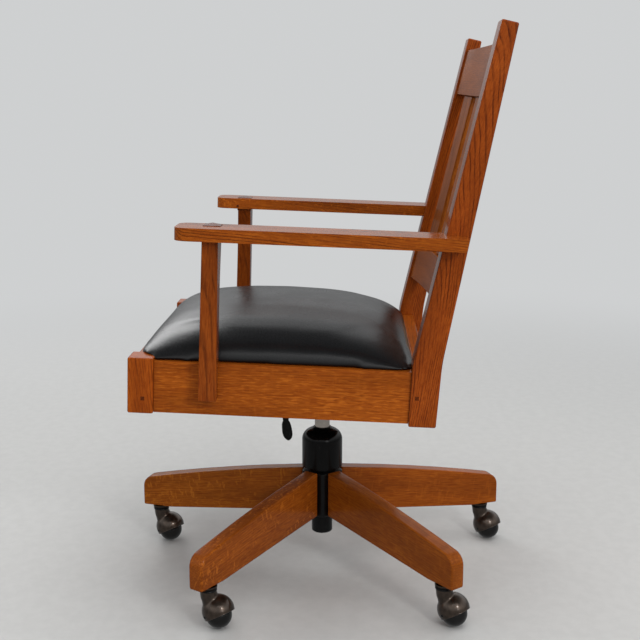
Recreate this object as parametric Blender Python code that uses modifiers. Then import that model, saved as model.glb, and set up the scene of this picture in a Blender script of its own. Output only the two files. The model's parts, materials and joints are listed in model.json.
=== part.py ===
"""Mission style oak desk armchair on a five arm swivel base with ball casters.

Units are metres, +Z is up, the sitter faces -Y and the floor is z = 0.
The origin is on the floor under the middle of the whole chair.
"""
import math

import bmesh
import bpy
from mathutils import Euler, Matrix, Vector

# Fits
GAP = 0.0003          # between pieces that touch
RUN_GAP = 0.0005      # round turning pins, stems and the lift rod

# Base
BASE_ARMS = 5
BASE_TURN = math.radians(3.2)      # how far the base stands turned under the seat
ARM_REACH = 0.367                  # column axis to the end of a base arm
ARM_THICK = 0.028
ARM_TOP_HUB = 0.189                # height of the top edge, carried on to the axis
ARM_TOP_END = 0.131
ARM_LOW_HUB = 0.1033               # the underside, carried on to the axis
ARM_LOW_SLOPE = 0.0934             # fall of the underside per metre outwards
PAD_HEIGHT = 0.0745                # flat underside over the caster
ARM_NOSE_R = 0.022
ARM_ARCH = 0.005                   # the top edge is bowed up by this in its middle
ARM_EASE = 0.0035                  # rounding along the arm's edges
HUB_FLAT = 0.0335                  # axis to the flats that the arms are bolted to
HUB_R = 0.0385
HUB_LOW = 0.099
HUB_HIGH = 0.183

# Column
CYL_R = 0.025
CYL_HIGH = 0.255
FOOT_R = 0.0195
FOOT_LOW = 0.0595
BELL_R = 0.0378
BELL_WALL = 0.002
BELL_ROUND = 0.021                 # rounding of its shoulder
BELL_LIP_R = 0.0175
BELL_HIGH = 0.2653
BELL_SHOULDER = 0.2410
BELL_LOW = 0.1895
ROD_R = 0.014
ROD_LOW = 0.100
ROD_BORE_LOW = 0.075
LIFT_TRAVEL = 0.100

# Casters
CASTER_INSET = 0.032               # end of a base arm to its caster's stem
TRAIL = 0.0165                     # stem axis to the middle of the hood
BALL_R = 0.0222
BALL_SHIFT = 0.0018                # the ball sits this far off the middle line of the hood
HOOD_R = 0.0276
HOOD_WALL = 0.0016
HOOD_MID = 0.0290                  # height of the hood's centre
HOOD_POLE = Vector((-0.30, -0.40, 0.87)).normalized()
HOOD_CUT = 0.0080                  # centre of the hood to its open rim, down the pole
NECK_R = 0.0150
STEM_R = 0.0055
STEM_HIGH = 0.108
SOCKET_WALL = 0.0016
FLANGE_R = 0.0158
FLANGE_THICK = 0.003
AXLE_R = 0.0030
WEB_R = 0.0180                     # the skirt that joins the neck to the hood, at its foot
AXLE_CROWN = 0.0008                # the hood's inside curves down this far over the axle

# Seat frame, in its own level frame before it is pitched back about the tilt pin
SEAT_PITCH = math.radians(2.07)
POST_OUT = 0.270                   # mid plane to the outer face of every post
POST_THICK = 0.046
REVEAL = 0.0065                    # posts stand proud of the rails by this
FRONT_Y = -0.311                   # front face of the front posts
FRONT_POST_DEEP = 0.042
FRONT_POST_LOW = 0.356
FRONT_POST_HIGH = 0.4485
RAIL_THICK = 0.022
RAIL_LOW = 0.3575
RAIL_HIGH = 0.4430
POST_EASE = 0.0025

# Back posts: front edge of each kink, and the depth of the post there
BACK_POST_LOW = 0.3534
BACK_Y_LOW = 0.1458
BACK_DEEP_LOW = 0.0445
KINK_Y = 0.1475
KINK_Z = 0.4533
KINK_DEEP = 0.0474
KINK_RISE = 0.0070                 # the rear bend sits this much higher
RAKE = math.radians(10.94)
POST_RUN = 0.5521                  # bend to top, along the raked front edge
TOP_DEEP = 0.0267

# Back, in the raked frame whose zero is the front bend of the posts
BACK_BOW = 0.028
BACK_SET = 0.004                   # front of the rails behind the front of the posts
BACK_RAIL_THICK = 0.020
LOWER_RAIL_LOW = 0.0707
LOWER_RAIL_HIGH = 0.1420
CREST_LOW = 0.4435
CREST_HIGH = 0.5290
SLATS = 5
SLAT_WIDE = 0.052
SLAT_PITCH = 0.0825
SLAT_THICK = 0.011

# Armrests
ARMREST_OVER = 0.038               # how far an armrest stands out past the posts
ARMREST_WIDE = 0.077
ARMREST_THICK = 0.0206
ARMREST_TOP = 0.6659
ARMREST_FRONT = -0.2337
ARMREST_CORNER = 0.018
ARMREST_SHORT = 0.0055             # its rear end stops this far in front of the post's rear
PROP_MID_Y = -0.1783               # middle of the arm props
PROP_DEEP_LOW = 0.0289
PROP_DEEP_TOP = 0.0256
PROP_THICK = 0.0278
PROP_TOP_THICK = 0.049
PROP_LOW = 0.3870
PROP_FLARE = 0.475                 # height where the inner side begins to curve out
TENON_INSET = 0.0206               # outer face of the prop to the tenon
TENON = 0.0280
TENON_PROUD = 0.0008
TENON_PEAK = 0.0035

# Seat
BATTEN_HIGH = 0.3850
BATTEN_WIDE = 0.060
BATTEN_Y = (-0.095, 0.075)
BOARD_THICK = 0.012
CUSHION_INSET = 0.0025
CUSHION_FRONT = -0.2995
CUSHION_BACK = BACK_Y_LOW + 0.0110  # between the back posts it reaches over the rear rail
CUSHION_EDGE = 0.0372              # height of the cushion's side
CUSHION_CROWN = 0.0412             # further rise at its middle
CUSHION_DOME = 4.4                 # a higher power keeps the top flat further out
CUSHION_DRAW = 0.0089              # sides drawn in between the corners
CUSHION_PINCH = 0.895              # share of the side's height lost at each corner
CUSHION_PINCH_NEAR = 8             # a higher power keeps that loss near the corners
CUSHION_LEAN = 0.0194              # the top's edge stands in from the bottom's
CUSHION_HOLD = 0.3655              # under 1 draws the cage's lines out to its edges

# Tilt mechanism, level and carried by the lift rod
PIN_Y = -0.036
PIN_RISE = 0.028                   # housing's underside to the pin
PIN_R = 0.0050
HOUSING_HALF = 0.036
HOUSING_FRONT = -0.088
HOUSING_BACK = 0.026
HOUSING_LOW = 0.3020
HOUSING_TALL = 0.0360
HOUSING_WALL = 0.003
BOSS_R = 0.0195
BOSS_TALL = 0.0340
TAPER_TALL = 0.030                 # length of the lift rod's taper in the housing
TAPER_FOOT = 0.0014                # how much thinner than the rod it starts
TAPER_HEAD = 0.0025                # and ends
PLATE_THICK = 0.004
PLATE_HALF = 0.095
PLATE_FRONT = -0.120
PLATE_BACK = 0.100
EAR_THICK = 0.004
EAR_BACK = 0.016
EAR_R = 0.011
SPRING_R = 0.0088
SPRING_WIRE = 0.0016
SPRING_TURNS = 6.5
KNOB_Y = -0.066
KNOB_R = 0.019
KNOB_TALL = 0.0175                 # housing's underside to the foot of the knob
KNOB_LOBES = 6
LOBE_DEEP = 0.0012
SCREW_R = 0.0045
LEVER_Y = -0.058
LEVER_RISE = 0.0270
LEVER_ROD_R = 0.0038
LEVER_OUT = 0.168
PADDLE_DROP = 0.0400               # lever's axis to the paddle's tip
PADDLE_RISE = 0.0060
PADDLE_WIDE = 0.0190
PADDLE_THICK = 0.0100
PADDLE_NARROW = 0.55               # share of its width where it hangs on the rod

# Worked out from the sizes above
RAIL_OUT = POST_OUT - REVEAL
PROP_OUT = RAIL_OUT + GAP + PROP_THICK
TENON_OUT = PROP_OUT - TENON_INSET
ARMREST_OUT = POST_OUT + ARMREST_OVER
COLUMN_X = (ARM_REACH - ARMREST_OUT) / 2
CASTER_REACH = ARM_REACH - CASTER_INSET
CUSHION_OUT = RAIL_OUT - CUSHION_INSET
RAIL_IN = RAIL_OUT - RAIL_THICK
POST_IN = POST_OUT - POST_THICK
PLATE_TOP = RAIL_LOW - GAP
ARMREST_LOW = ARMREST_TOP - ARMREST_THICK
PIN_Z = HOUSING_LOW + PIN_RISE
LEVER_Z = HOUSING_LOW + LEVER_RISE
KNOB_LOW = HOUSING_LOW - KNOB_TALL
ROD_TOP = HOUSING_LOW + TAPER_TALL
UP_THE_RAKE = Vector((math.sin(RAKE), math.cos(RAKE)))          # as (y, z)
ACROSS_THE_RAKE = Vector((math.cos(RAKE), -math.sin(RAKE)))
POST_TOP_FRONT = Vector((KINK_Y, KINK_Z)) + UP_THE_RAKE * POST_RUN
POST_TOP_REAR = POST_TOP_FRONT + ACROSS_THE_RAKE * TOP_DEEP
BEND_REAR = Vector((KINK_Y + KINK_DEEP, KINK_Z + KINK_RISE))

for leftover in list(bpy.data.objects):
    bpy.data.objects.remove(leftover)


def collection(name):
    group = bpy.data.collections.new(name)
    bpy.context.scene.collection.children.link(group)
    return group


CHAIR = collection("mission_swivel_armchair")
CUTTERS = collection("cutters")


def material(name, colour, roughness, metallic=0.0):
    made = bpy.data.materials.new(name)
    made.use_nodes = True
    shader = made.node_tree.nodes["Principled BSDF"]
    shader.inputs["Base Color"].default_value = (*colour, 1)
    shader.inputs["Roughness"].default_value = roughness
    shader.inputs["Metallic"].default_value = metallic
    return made


OAK = material("lacquered_oak", (0.40, 0.135, 0.035), 0.35)
LEATHER = material("black_leather", (0.018, 0.018, 0.020), 0.35)
BLACK_STEEL = material("black_steel", (0.012, 0.012, 0.013), 0.45, 0.6)
CHROME = material("bright_steel", (0.70, 0.70, 0.72), 0.15, 1.0)
BRONZE = material("antique_bronze", (0.10, 0.075, 0.055), 0.35, 0.9)
BLACK_PLASTIC = material("black_plastic", (0.015, 0.015, 0.016), 0.5)
PLYWOOD = material("plywood", (0.45, 0.30, 0.16), 0.7)


def empty(name, parent=None, location=(0, 0, 0), rotation=(0, 0, 0)):
    marker = bpy.data.objects.new(name, None)
    CHAIR.objects.link(marker)
    marker.parent = parent
    marker.location = location
    marker.rotation_euler = rotation
    return marker


def put(mesh_object, parent, location=(0, 0, 0), rotation=(0, 0, 0)):
    mesh_object.parent = parent
    mesh_object.location = location
    mesh_object.rotation_euler = rotation
    return mesh_object


def add_object(name, mesh, finish=None, group=None):
    made = bpy.data.objects.new(name, mesh)
    (group or CHAIR).objects.link(made)
    if finish:
        made.data.materials.append(finish)
    return made


def as_cutter(made):
    """Moves an object to the cutters, which the build leaves out."""
    for group in list(made.users_collection):
        group.objects.unlink(made)
    CUTTERS.objects.link(made)
    made.hide_render = True
    made.display_type = "WIRE"
    return made


def board(name, outline, depth, finish, facing="Z"):
    """A flat outline as a filled 2D curve of the given depth.

    Facing Z keeps it in plan; X stands it up as a side view whose points are
    (y, z); Y stands it up as a front view whose points are (x, z).
    """
    curve = bpy.data.curves.new(name, "CURVE")
    curve.dimensions = "2D"
    curve.fill_mode = "BOTH"
    curve.extrude = depth / 2
    spline = curve.splines.new("POLY")
    spline.points.add(len(outline) - 1)
    for point, (across, up) in zip(spline.points, outline):
        point.co = (across, up, 0, 1)
    spline.use_cyclic_u = True
    flat = bpy.data.objects.new(name, curve)
    bpy.context.scene.collection.objects.link(flat)
    bpy.context.view_layer.update()
    graph = bpy.context.evaluated_depsgraph_get()
    mesh = bpy.data.meshes.new_from_object(flat.evaluated_get(graph))
    bpy.data.objects.remove(flat)
    turn = {
        "Z": Matrix.Identity(4),
        "X": Matrix(((0, 0, 1, 0), (1, 0, 0, 0), (0, 1, 0, 0), (0, 0, 0, 1))),
        "Y": Matrix.Rotation(math.pi / 2, 4, "X"),
    }[facing]
    shape = bmesh.new()
    shape.from_mesh(mesh)
    bmesh.ops.remove_doubles(shape, verts=shape.verts, dist=0.00001)
    bmesh.ops.transform(shape, matrix=turn, verts=shape.verts)
    bmesh.ops.recalc_face_normals(shape, faces=shape.faces)
    shape.to_mesh(mesh)
    shape.free()
    return add_object(name, mesh, finish)


def box(name, low, high, finish=None):
    """A box between two corners, with its origin at its middle."""
    low, high = Vector(low), Vector(high)
    shape = bmesh.new()
    bmesh.ops.create_cube(shape, size=1)
    bmesh.ops.scale(shape, vec=high - low, verts=shape.verts)
    mesh = bpy.data.meshes.new(name)
    shape.to_mesh(mesh)
    shape.free()
    made = add_object(name, mesh, finish)
    made.location = (low + high) / 2
    return made


def rod(name, radius, low, high, finish=None, sides=24, radius_high=None):
    """An upright cylinder or cone on the object's own Z axis."""
    shape = bmesh.new()
    bmesh.ops.create_cone(
        shape, cap_ends=True, segments=sides, radius1=radius,
        radius2=radius if radius_high is None else radius_high, depth=high - low)
    bmesh.ops.translate(shape, vec=(0, 0, (low + high) / 2), verts=shape.verts)
    mesh = bpy.data.meshes.new(name)
    shape.to_mesh(mesh)
    shape.free()
    made = add_object(name, mesh, finish)
    smooth(made)
    return made


def ball(name, radius, finish=None, around=18, rows=10):
    shape = bmesh.new()
    bmesh.ops.create_uvsphere(shape, u_segments=around, v_segments=rows, radius=radius)
    mesh = bpy.data.meshes.new(name)
    shape.to_mesh(mesh)
    shape.free()
    made = add_object(name, mesh, finish)
    smooth(made)
    return made


def turned(name, profile, finish, steps=32, closed=False):
    """A profile of (radius, height) points, run down its outer side, turned about Z."""
    mesh = bpy.data.meshes.new(name)
    points = [(radius, 0, height) for radius, height in profile]
    edges = [(i, i + 1) for i in range(len(points) - 1)]
    if closed:
        edges.append((len(points) - 1, 0))
    mesh.from_pydata(points, edges, [])
    made = add_object(name, mesh, finish)
    screw = made.modifiers.new("turn", "SCREW")
    screw.axis = "Z"
    screw.steps = steps
    screw.render_steps = steps
    screw.use_merge_vertices = True
    screw.merge_threshold = 0.00001
    screw.use_smooth_shade = False
    return made


def smooth(made, angle=35):
    made.data.shade_smooth()
    made.data.set_sharp_from_angle(angle=math.radians(angle))


def baked(made):
    """Replaces an object's mesh by its evaluated one, so it can be cut again."""
    bpy.context.view_layer.update()
    graph = bpy.context.evaluated_depsgraph_get()
    mesh = bpy.data.meshes.new_from_object(made.evaluated_get(graph))
    made.modifiers.clear()
    made.data = mesh
    return made


def ease(made, width, segments=2, angle=40):
    rounding = made.modifiers.new("eased_edges", "BEVEL")
    rounding.width = width
    rounding.segments = segments
    rounding.limit_method = "ANGLE"
    rounding.angle_limit = math.radians(angle)
    return made


def boolean(made, tool, operation):
    step = made.modifiers.new(operation.lower(), "BOOLEAN")
    step.operation = operation
    step.object = as_cutter(tool)
    return made


def cut(made, tool):
    return boolean(made, tool, "DIFFERENCE")


def join(made, tool):
    return boolean(made, tool, "UNION")


def arc(centre, radius, start, end, steps):
    """Points on an arc, angles in degrees."""
    points = []
    for i in range(steps + 1):
        angle = math.radians(start + (end - start) * i / steps)
        points.append((centre[0] + radius * math.cos(angle), centre[1] + radius * math.sin(angle)))
    return points


def rounded_corner(before, corner, after, radius, steps=4):
    """Points that round a corner of an outline between its two neighbours."""
    corner = Vector(corner)
    towards = (Vector(before) - corner).normalized()
    onwards = (Vector(after) - corner).normalized()
    half = math.acos(max(-1, min(1, towards.dot(onwards)))) / 2
    reach = radius / math.tan(half)
    centre = corner + (towards + onwards).normalized() * (radius / math.sin(half))
    start = corner + towards * reach - centre
    end = corner + onwards * reach - centre
    points = []
    for i in range(steps + 1):
        ray = start.lerp(end, i / steps)
        points.append(tuple(centre + ray.normalized() * radius))
    return points


COLUMN = empty("column_axis", location=(COLUMN_X, 0, 0))
LIFT = empty("lift_slide", COLUMN)
SWIVEL = empty("seat_swivel", LIFT)
PIN = Vector((0, PIN_Y, PIN_Z))
TILT = empty("seat_tilt", SWIVEL, PIN, (-SEAT_PITCH, 0, 0))
BEND = Vector((0, KINK_Y, KINK_Z))
BACK = empty("raked_back", TILT, BEND - PIN, (-RAKE, 0, 0))


def on_seat(made):
    """Hangs a piece that was placed in the level seat frame on the tilt pin."""
    made.location = Vector(made.location) - PIN
    made.parent = TILT
    return made


# Base


def underside(reach):
    return ARM_LOW_HUB - ARM_LOW_SLOPE * reach


def topside(reach):
    share = reach / ARM_REACH
    return ARM_TOP_HUB + (ARM_TOP_END - ARM_TOP_HUB) * share + ARM_ARCH * 4 * share * (1 - share)


def base_arm(name, angle):
    """A tapering board on edge, with a rounded nose and a flat pad over its caster."""
    root = HUB_FLAT + GAP
    pad_start = (ARM_LOW_HUB - PAD_HEIGHT) / ARM_LOW_SLOPE
    last = ARM_REACH * 5 / 6
    outline = [(root, underside(root)), (pad_start, PAD_HEIGHT), (ARM_REACH, PAD_HEIGHT)]
    outline += rounded_corner(
        (ARM_REACH, PAD_HEIGHT), (ARM_REACH, ARM_TOP_END), (last, topside(last)), ARM_NOSE_R, 5)
    outline += [(reach, topside(reach)) for reach in (last, ARM_REACH * 2 / 3, ARM_REACH / 2,
                                                      ARM_REACH / 3, root)]
    arm = board(name, outline, ARM_THICK, OAK, facing="Y")
    ease(arm, ARM_EASE)
    put(arm, COLUMN, rotation=(0, 0, angle))
    hole = rod(name + "_hole", STEM_R + SOCKET_WALL + RUN_GAP + GAP, PAD_HEIGHT - 0.01,
               STEM_HIGH + 0.0035, sides=20)
    put(hole, arm, (CASTER_REACH, 0, 0))
    cut(arm, hole)
    return arm


def hub():
    """The black steel hub: a round body with a milled flat for each arm."""
    body = rod("hub", HUB_R, HUB_LOW, HUB_HIGH, BLACK_STEEL, sides=60)
    put(body, COLUMN)
    flats = []
    for i in range(BASE_ARMS):
        flat = box("hub_flat_%d" % (i + 1), (HUB_FLAT, -0.03, HUB_LOW - 0.01),
                   (HUB_FLAT + 0.02, 0.03, HUB_HIGH + 0.01))
        angle = arm_angle(i)
        middle = Vector(flat.location)
        middle.rotate(Euler((0, 0, angle)))
        put(flat, COLUMN, middle, (0, 0, angle))
        flats.append(flat)
    for flat in flats:
        cut(body, flat)
    bore = rod("hub_bore", CYL_R + GAP, HUB_LOW - 0.01, HUB_HIGH + 0.01, sides=48)
    put(bore, COLUMN)
    cut(body, bore)
    return body


def arm_angle(index):
    return BASE_TURN + 2 * math.pi * (index + 0.5) / BASE_ARMS


def column():
    bore = ROD_R + RUN_GAP
    cylinder = turned("gas_cylinder", [
        (bore, CYL_HIGH), (CYL_R - 0.002, CYL_HIGH), (CYL_R, CYL_HIGH - 0.002),
        (CYL_R, HUB_LOW + 0.002), (bore, HUB_LOW + 0.002)],
        BLACK_STEEL, closed=True)
    put(cylinder, COLUMN)
    foot = turned("column_foot", [
        (0, HUB_LOW + 0.002 - GAP), (CYL_R - 0.001, HUB_LOW + 0.002 - GAP),
        (CYL_R - 0.001, HUB_LOW - GAP), (FOOT_R, HUB_LOW - GAP),
        (FOOT_R, FOOT_LOW + 0.002), (FOOT_R - 0.002, FOOT_LOW), (0, FOOT_LOW)],
        BLACK_STEEL)
    put(foot, COLUMN)
    well = rod("foot_well", bore, ROD_BORE_LOW, HUB_LOW + 0.01, sides=32)
    put(well, COLUMN)
    cut(foot, well)
    shoulder = arc((BELL_R - BELL_ROUND, BELL_SHOULDER), BELL_ROUND, 80, 0, 4)
    outer = [(bore, BELL_HIGH), (BELL_LIP_R, BELL_HIGH)] + shoulder + [(BELL_R, BELL_LOW)]
    wall = BELL_WALL * 0.9
    inner = [(BELL_R - BELL_WALL, BELL_LOW)]
    inner += [(radius - wall, height - wall) for radius, height in reversed(shoulder)]
    inner += [(bore, BELL_HIGH - BELL_WALL - 0.0015)]
    bell = turned("bell_cover", outer + inner, BLACK_PLASTIC, steps=28, closed=True)
    put(bell, COLUMN)
    piston = turned("lift_rod", [
        (0, ROD_TOP), (ROD_R - TAPER_HEAD, ROD_TOP),
        (ROD_R - TAPER_FOOT - 0.0001, HOUSING_LOW - 0.001),
        (ROD_R, HOUSING_LOW - 0.003), (ROD_R, ROD_LOW), (0, ROD_LOW)], CHROME)
    put(piston, LIFT)


def caster(index):
    """A ball caster: socket in the arm, hooded horn with its stem, slanting axle, ball.

    The hood is a thin shell cut off by a slanting plane, so the ball shows on one side.
    """
    tag = "_%d" % (index + 1)
    angle = arm_angle(index)
    foot = Vector((CASTER_REACH * math.cos(angle), CASTER_REACH * math.sin(angle), 0))
    axis = empty("caster_axis" + tag, COLUMN, foot)
    sleeve = STEM_R + RUN_GAP
    wall = sleeve + SOCKET_WALL
    top = STEM_HIGH + 0.003
    flange_top = PAD_HEIGHT - GAP
    flange_low = flange_top - FLANGE_THICK
    socket = turned("caster_socket" + tag, [
        (0, top), (wall, top), (wall, flange_top), (FLANGE_R, flange_top),
        (FLANGE_R, flange_low), (sleeve, flange_low), (sleeve, top - 0.0015), (0, top - 0.0015)],
        BRONZE, steps=16)
    put(socket, axis)

    neck_top = flange_low - RUN_GAP
    neck = turned("caster_hood" + tag, [
        (0, STEM_HIGH), (STEM_R, STEM_HIGH), (STEM_R, neck_top), (NECK_R, neck_top),
        (NECK_R, neck_top - 0.0028), (NECK_R - 0.0018, neck_top - 0.0038),
        (NECK_R - 0.0003, neck_top - 0.005), (NECK_R - 0.0003, neck_top - 0.0075),
        (NECK_R - 0.004, HOOD_MID + HOOD_R - 0.008), (0, HOOD_MID + HOOD_R - 0.008)],
        BRONZE, steps=16)
    put(neck, axis)
    tilt = HOOD_POLE.to_track_quat("Z", "Y").to_euler()
    middle = Vector((0, TRAIL, HOOD_MID))
    dome = put(ball("hood_dome" + tag, HOOD_R), axis, middle, tilt)
    rise = neck_top - 0.008 - HOOD_MID
    web = put(rod("hood_web" + tag, WEB_R, 0, rise, sides=16, radius_high=NECK_R - 0.001),
              axis, (0, TRAIL * 0.55, HOOD_MID), (math.atan2(TRAIL * 0.55, rise), 0, 0))
    hollow = put(ball("hood_hollow" + tag, HOOD_R - HOOD_WALL), axis, middle, tilt)
    opening = box("hood_opening" + tag, (-0.05, -0.05, -0.06), (0.05, 0.05, -HOOD_CUT))
    centre = Vector(opening.location)
    centre.rotate(tilt)
    put(opening, axis, middle + centre, tilt)
    join(neck, dome)
    join(neck, web)
    cut(neck, hollow)
    cut(neck, opening)

    aside = Vector((0, -1, 0)) - HOOD_POLE * -HOOD_POLE.y
    aside = aside.normalized() * BALL_SHIFT
    sink = (HOOD_MID + aside.z - BALL_R) / HOOD_POLE.z
    heart = middle + aside - HOOD_POLE * sink
    wheel = put(ball("caster_ball" + tag, BALL_R, BLACK_PLASTIC), axis, heart, tilt)
    bore = put(rod("ball_bore" + tag, AXLE_R + RUN_GAP, -BALL_R * 0.5, BALL_R * 1.5, sides=12),
               axis, heart, tilt)
    cut(wheel, bore)
    reach = sink + HOOD_R - HOOD_WALL - GAP - AXLE_CROWN
    put(rod("caster_axle" + tag, AXLE_R, -BALL_R * 0.5 + GAP, reach, CHROME, sides=12),
        axis, heart, tilt)


def base():
    for i in range(BASE_ARMS):
        base_arm("base_arm_%d" % (i + 1), arm_angle(i))
    hub()
    column()
    for i in range(BASE_ARMS):
        caster(i)


# Tilt mechanism


def housing():
    """A pressed channel that the lift rod's taper wedges into."""
    low = HOUSING_LOW
    high = low + HOUSING_TALL
    body = box("tilt_housing", (-HOUSING_HALF, HOUSING_FRONT, low),
               (HOUSING_HALF, HOUSING_BACK, high), BLACK_STEEL)
    body.parent = SWIVEL
    wall = HOUSING_WALL
    inside = box("housing_inside", (wall - HOUSING_HALF, HOUSING_FRONT + wall, low + wall),
                 (HOUSING_HALF - wall, HOUSING_BACK - wall, high + 0.01))
    inside.parent = SWIVEL
    cut(body, inside)
    boss = put(rod("housing_boss", BOSS_R, low + 0.001, low + BOSS_TALL, sides=28), SWIVEL)
    join(body, boss)
    taper = put(rod("housing_taper", ROD_R - TAPER_FOOT + GAP, low - 0.001, ROD_TOP + GAP,
                    sides=32, radius_high=ROD_R - TAPER_HEAD + GAP), SWIVEL)
    cut(body, taper)
    across = (0, math.pi / 2, 0)
    for name, radius, half, location, rotation in (
            ("pin_holes", PIN_R + GAP, 0.05, (0, PIN_Y, PIN_Z), across),
            ("knob_hole", SCREW_R + RUN_GAP, 0.01, (0, KNOB_Y, low), (0, 0, 0)),
            ("lever_hole", LEVER_ROD_R + RUN_GAP, 0.01, (HOUSING_HALF, LEVER_Y, LEVER_Z), across)):
        hole = put(rod(name, radius, -half, half, sides=20), SWIVEL, location, rotation)
        cut(body, hole)
    return body


def tilt_pin():
    half = HOUSING_HALF + GAP + EAR_THICK + 0.003
    pin = rod("tilt_pin", PIN_R, -half, half, CHROME, sides=20)
    put(pin, SWIVEL, (0, PIN_Y, PIN_Z), (0, math.pi / 2, 0))


def tilt_spring():
    """A torsion spring wound round the pin, its legs standing on the housing floor."""
    curve = bpy.data.curves.new("tilt_spring", "CURVE")
    curve.dimensions = "3D"
    curve.bevel_depth = SPRING_WIRE
    curve.bevel_resolution = 1
    curve.use_fill_caps = True
    length = 2 * (HOUSING_HALF - HOUSING_WALL) - 0.008
    steps = round(SPRING_TURNS * 10)
    floor = HOUSING_LOW + HOUSING_WALL + GAP - PIN_Z
    points = [(-length / 2, -SPRING_R, floor)]
    for i in range(steps + 1):
        turn = 2 * math.pi * i / 10
        points.append((-length / 2 + length * i / steps, -SPRING_R * math.cos(turn),
                       SPRING_R * math.sin(turn)))
    points.append((length / 2, SPRING_R, floor))
    spline = curve.splines.new("POLY")
    spline.points.add(len(points) - 1)
    for point, place in zip(spline.points, points):
        point.co = (*place, 1)
    spring = bpy.data.objects.new("tilt_spring", curve)
    CHAIR.objects.link(spring)
    curve.materials.append(BLACK_STEEL)
    put(spring, SWIVEL, (0, PIN_Y, PIN_Z))
    gap = min(math.dist(points[i], points[j]) for i in range(len(points))
              for j in range(i + 6, len(points))) - 2 * SPRING_WIRE
    print("least gap between the turns of tilt_spring: %.2f mm" % (gap * 1000))


def tension_knob():
    """A lobed hand knob on the spring's tension screw, under the housing."""
    top = HOUSING_LOW - RUN_GAP
    outline = []
    for i in range(48):
        turn = 2 * math.pi * i / 48
        radius = KNOB_R - LOBE_DEEP + LOBE_DEEP * math.cos(KNOB_LOBES * turn)
        outline.append((radius * math.cos(turn), radius * math.sin(turn)))
    knob = board("tension_knob", outline, top - KNOB_LOW, BLACK_PLASTIC)
    ease(knob, 0.002, 1, 60)
    put(knob, SWIVEL, (0, KNOB_Y, (top + KNOB_LOW) / 2))
    screw = put(rod("knob_screw", SCREW_R, KNOB_LOW + 0.004, HOUSING_LOW + 0.020, sides=16),
                SWIVEL, (0, KNOB_Y, 0))
    join(knob, screw)


def lift_lever():
    """A rod out of the housing's side with a flat, grooved finger paddle hanging on it."""
    lever = rod("lift_lever", LEVER_ROD_R, 0.012, LEVER_OUT, BLACK_STEEL, sides=16)
    put(lever, SWIVEL, (0, LEVER_Y, LEVER_Z), (0, math.pi / 2, 0))
    top = LEVER_Z + PADDLE_RISE
    half = PADDLE_WIDE / 2
    slim = half * PADDLE_NARROW
    outline = [(-slim, top), (-slim, top - 0.018), (-half, top - 0.030)]
    outline += arc((0, LEVER_Z - PADDLE_DROP + half), half, 180, 360, 10)[:-1]
    outline += [(half, top - 0.030), (slim, top - 0.018), (slim, top)]
    paddle = board("lever_paddle", outline, PADDLE_THICK, BLACK_PLASTIC, facing="X")
    ease(paddle, 0.0025, 2, 50)
    put(paddle, SWIVEL, (LEVER_OUT, LEVER_Y, 0))
    join(lever, paddle)
    return lever


def tilt_plate():
    """The upper plate, screwed under the battens, with an ear each side for the pin."""
    top = PLATE_TOP
    plate = box("tilt_plate", (-PLATE_HALF, PLATE_FRONT, top - PLATE_THICK),
                (PLATE_HALF, PLATE_BACK, top), BLACK_STEEL)
    on_seat(plate)
    inner = HOUSING_HALF + GAP
    for side in (-1, 1):
        outline = [(PIN_Y - EAR_BACK, top - 0.001), (PIN_Y - EAR_BACK, PIN_Z + 0.004)]
        outline += arc((PIN_Y, PIN_Z), EAR_R, 180, 360, 8)
        outline += [(PIN_Y + EAR_BACK, PIN_Z + 0.004), (PIN_Y + EAR_BACK, top - 0.001)]
        ear = board("plate_ear", outline, EAR_THICK, BLACK_STEEL, facing="X")
        ear.location = (side * (inner + EAR_THICK / 2), 0, 0)
        join(plate, on_seat(ear))
    hole = rod("ear_holes", PIN_R + RUN_GAP, -0.06, 0.06, sides=20)
    hole.location = PIN
    hole.rotation_euler = (0, math.pi / 2, 0)
    cut(plate, on_seat(hole))
    return plate


def mechanism():
    housing()
    tilt_pin()
    tilt_spring()
    tension_knob()
    lift_lever()
    tilt_plate()


# Seat frame


def front_post(name, side):
    low = (POST_IN, FRONT_Y, FRONT_POST_LOW)
    high = (POST_OUT, FRONT_Y + FRONT_POST_DEEP, FRONT_POST_HIGH)
    post = box(name, low, high, OAK)
    post.location.x *= side
    ease(post, POST_EASE)
    return on_seat(post)


def back_post_outline(grow=0.0):
    """The side view of a back post, bent at the seat and tapering to its top."""
    low_front = (BACK_Y_LOW - grow, BACK_POST_LOW)
    low_rear = (BACK_Y_LOW + BACK_DEEP_LOW + grow, BACK_POST_LOW)
    front = (KINK_Y - grow, KINK_Z)
    rear = (BEND_REAR.x + grow, BEND_REAR.y)
    top_front = tuple(POST_TOP_FRONT - ACROSS_THE_RAKE * grow)
    top_rear = tuple(POST_TOP_REAR + ACROSS_THE_RAKE * grow)
    outline = [low_front, low_rear]
    outline += rounded_corner(low_rear, rear, top_rear, 0.25, 4)
    outline += [top_rear, top_front]
    outline += rounded_corner(top_front, front, low_front, 0.12, 4)
    return outline


def back_post(name, side):
    post = board(name, back_post_outline(), POST_THICK, OAK, facing="X")
    post.location = (side * (POST_OUT - POST_THICK / 2), 0, 0)
    ease(post, POST_EASE)
    return on_seat(post)


def side_rail(name, side):
    """Between the posts, its rear end following the bend of the back post."""
    low = (RAIL_IN, FRONT_Y + FRONT_POST_DEEP + GAP, RAIL_LOW)
    high = (RAIL_OUT, KINK_Y + 0.01, RAIL_HIGH)
    rail = box(name, low, high, OAK)
    rail.location.x *= side
    on_seat(rail)
    post = board(name + "_shoulder", back_post_outline(GAP), POST_THICK + 0.02, None, facing="X")
    post.location = (side * (POST_OUT - POST_THICK / 2), 0, 0)
    cut(rail, on_seat(post))
    return rail


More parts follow.
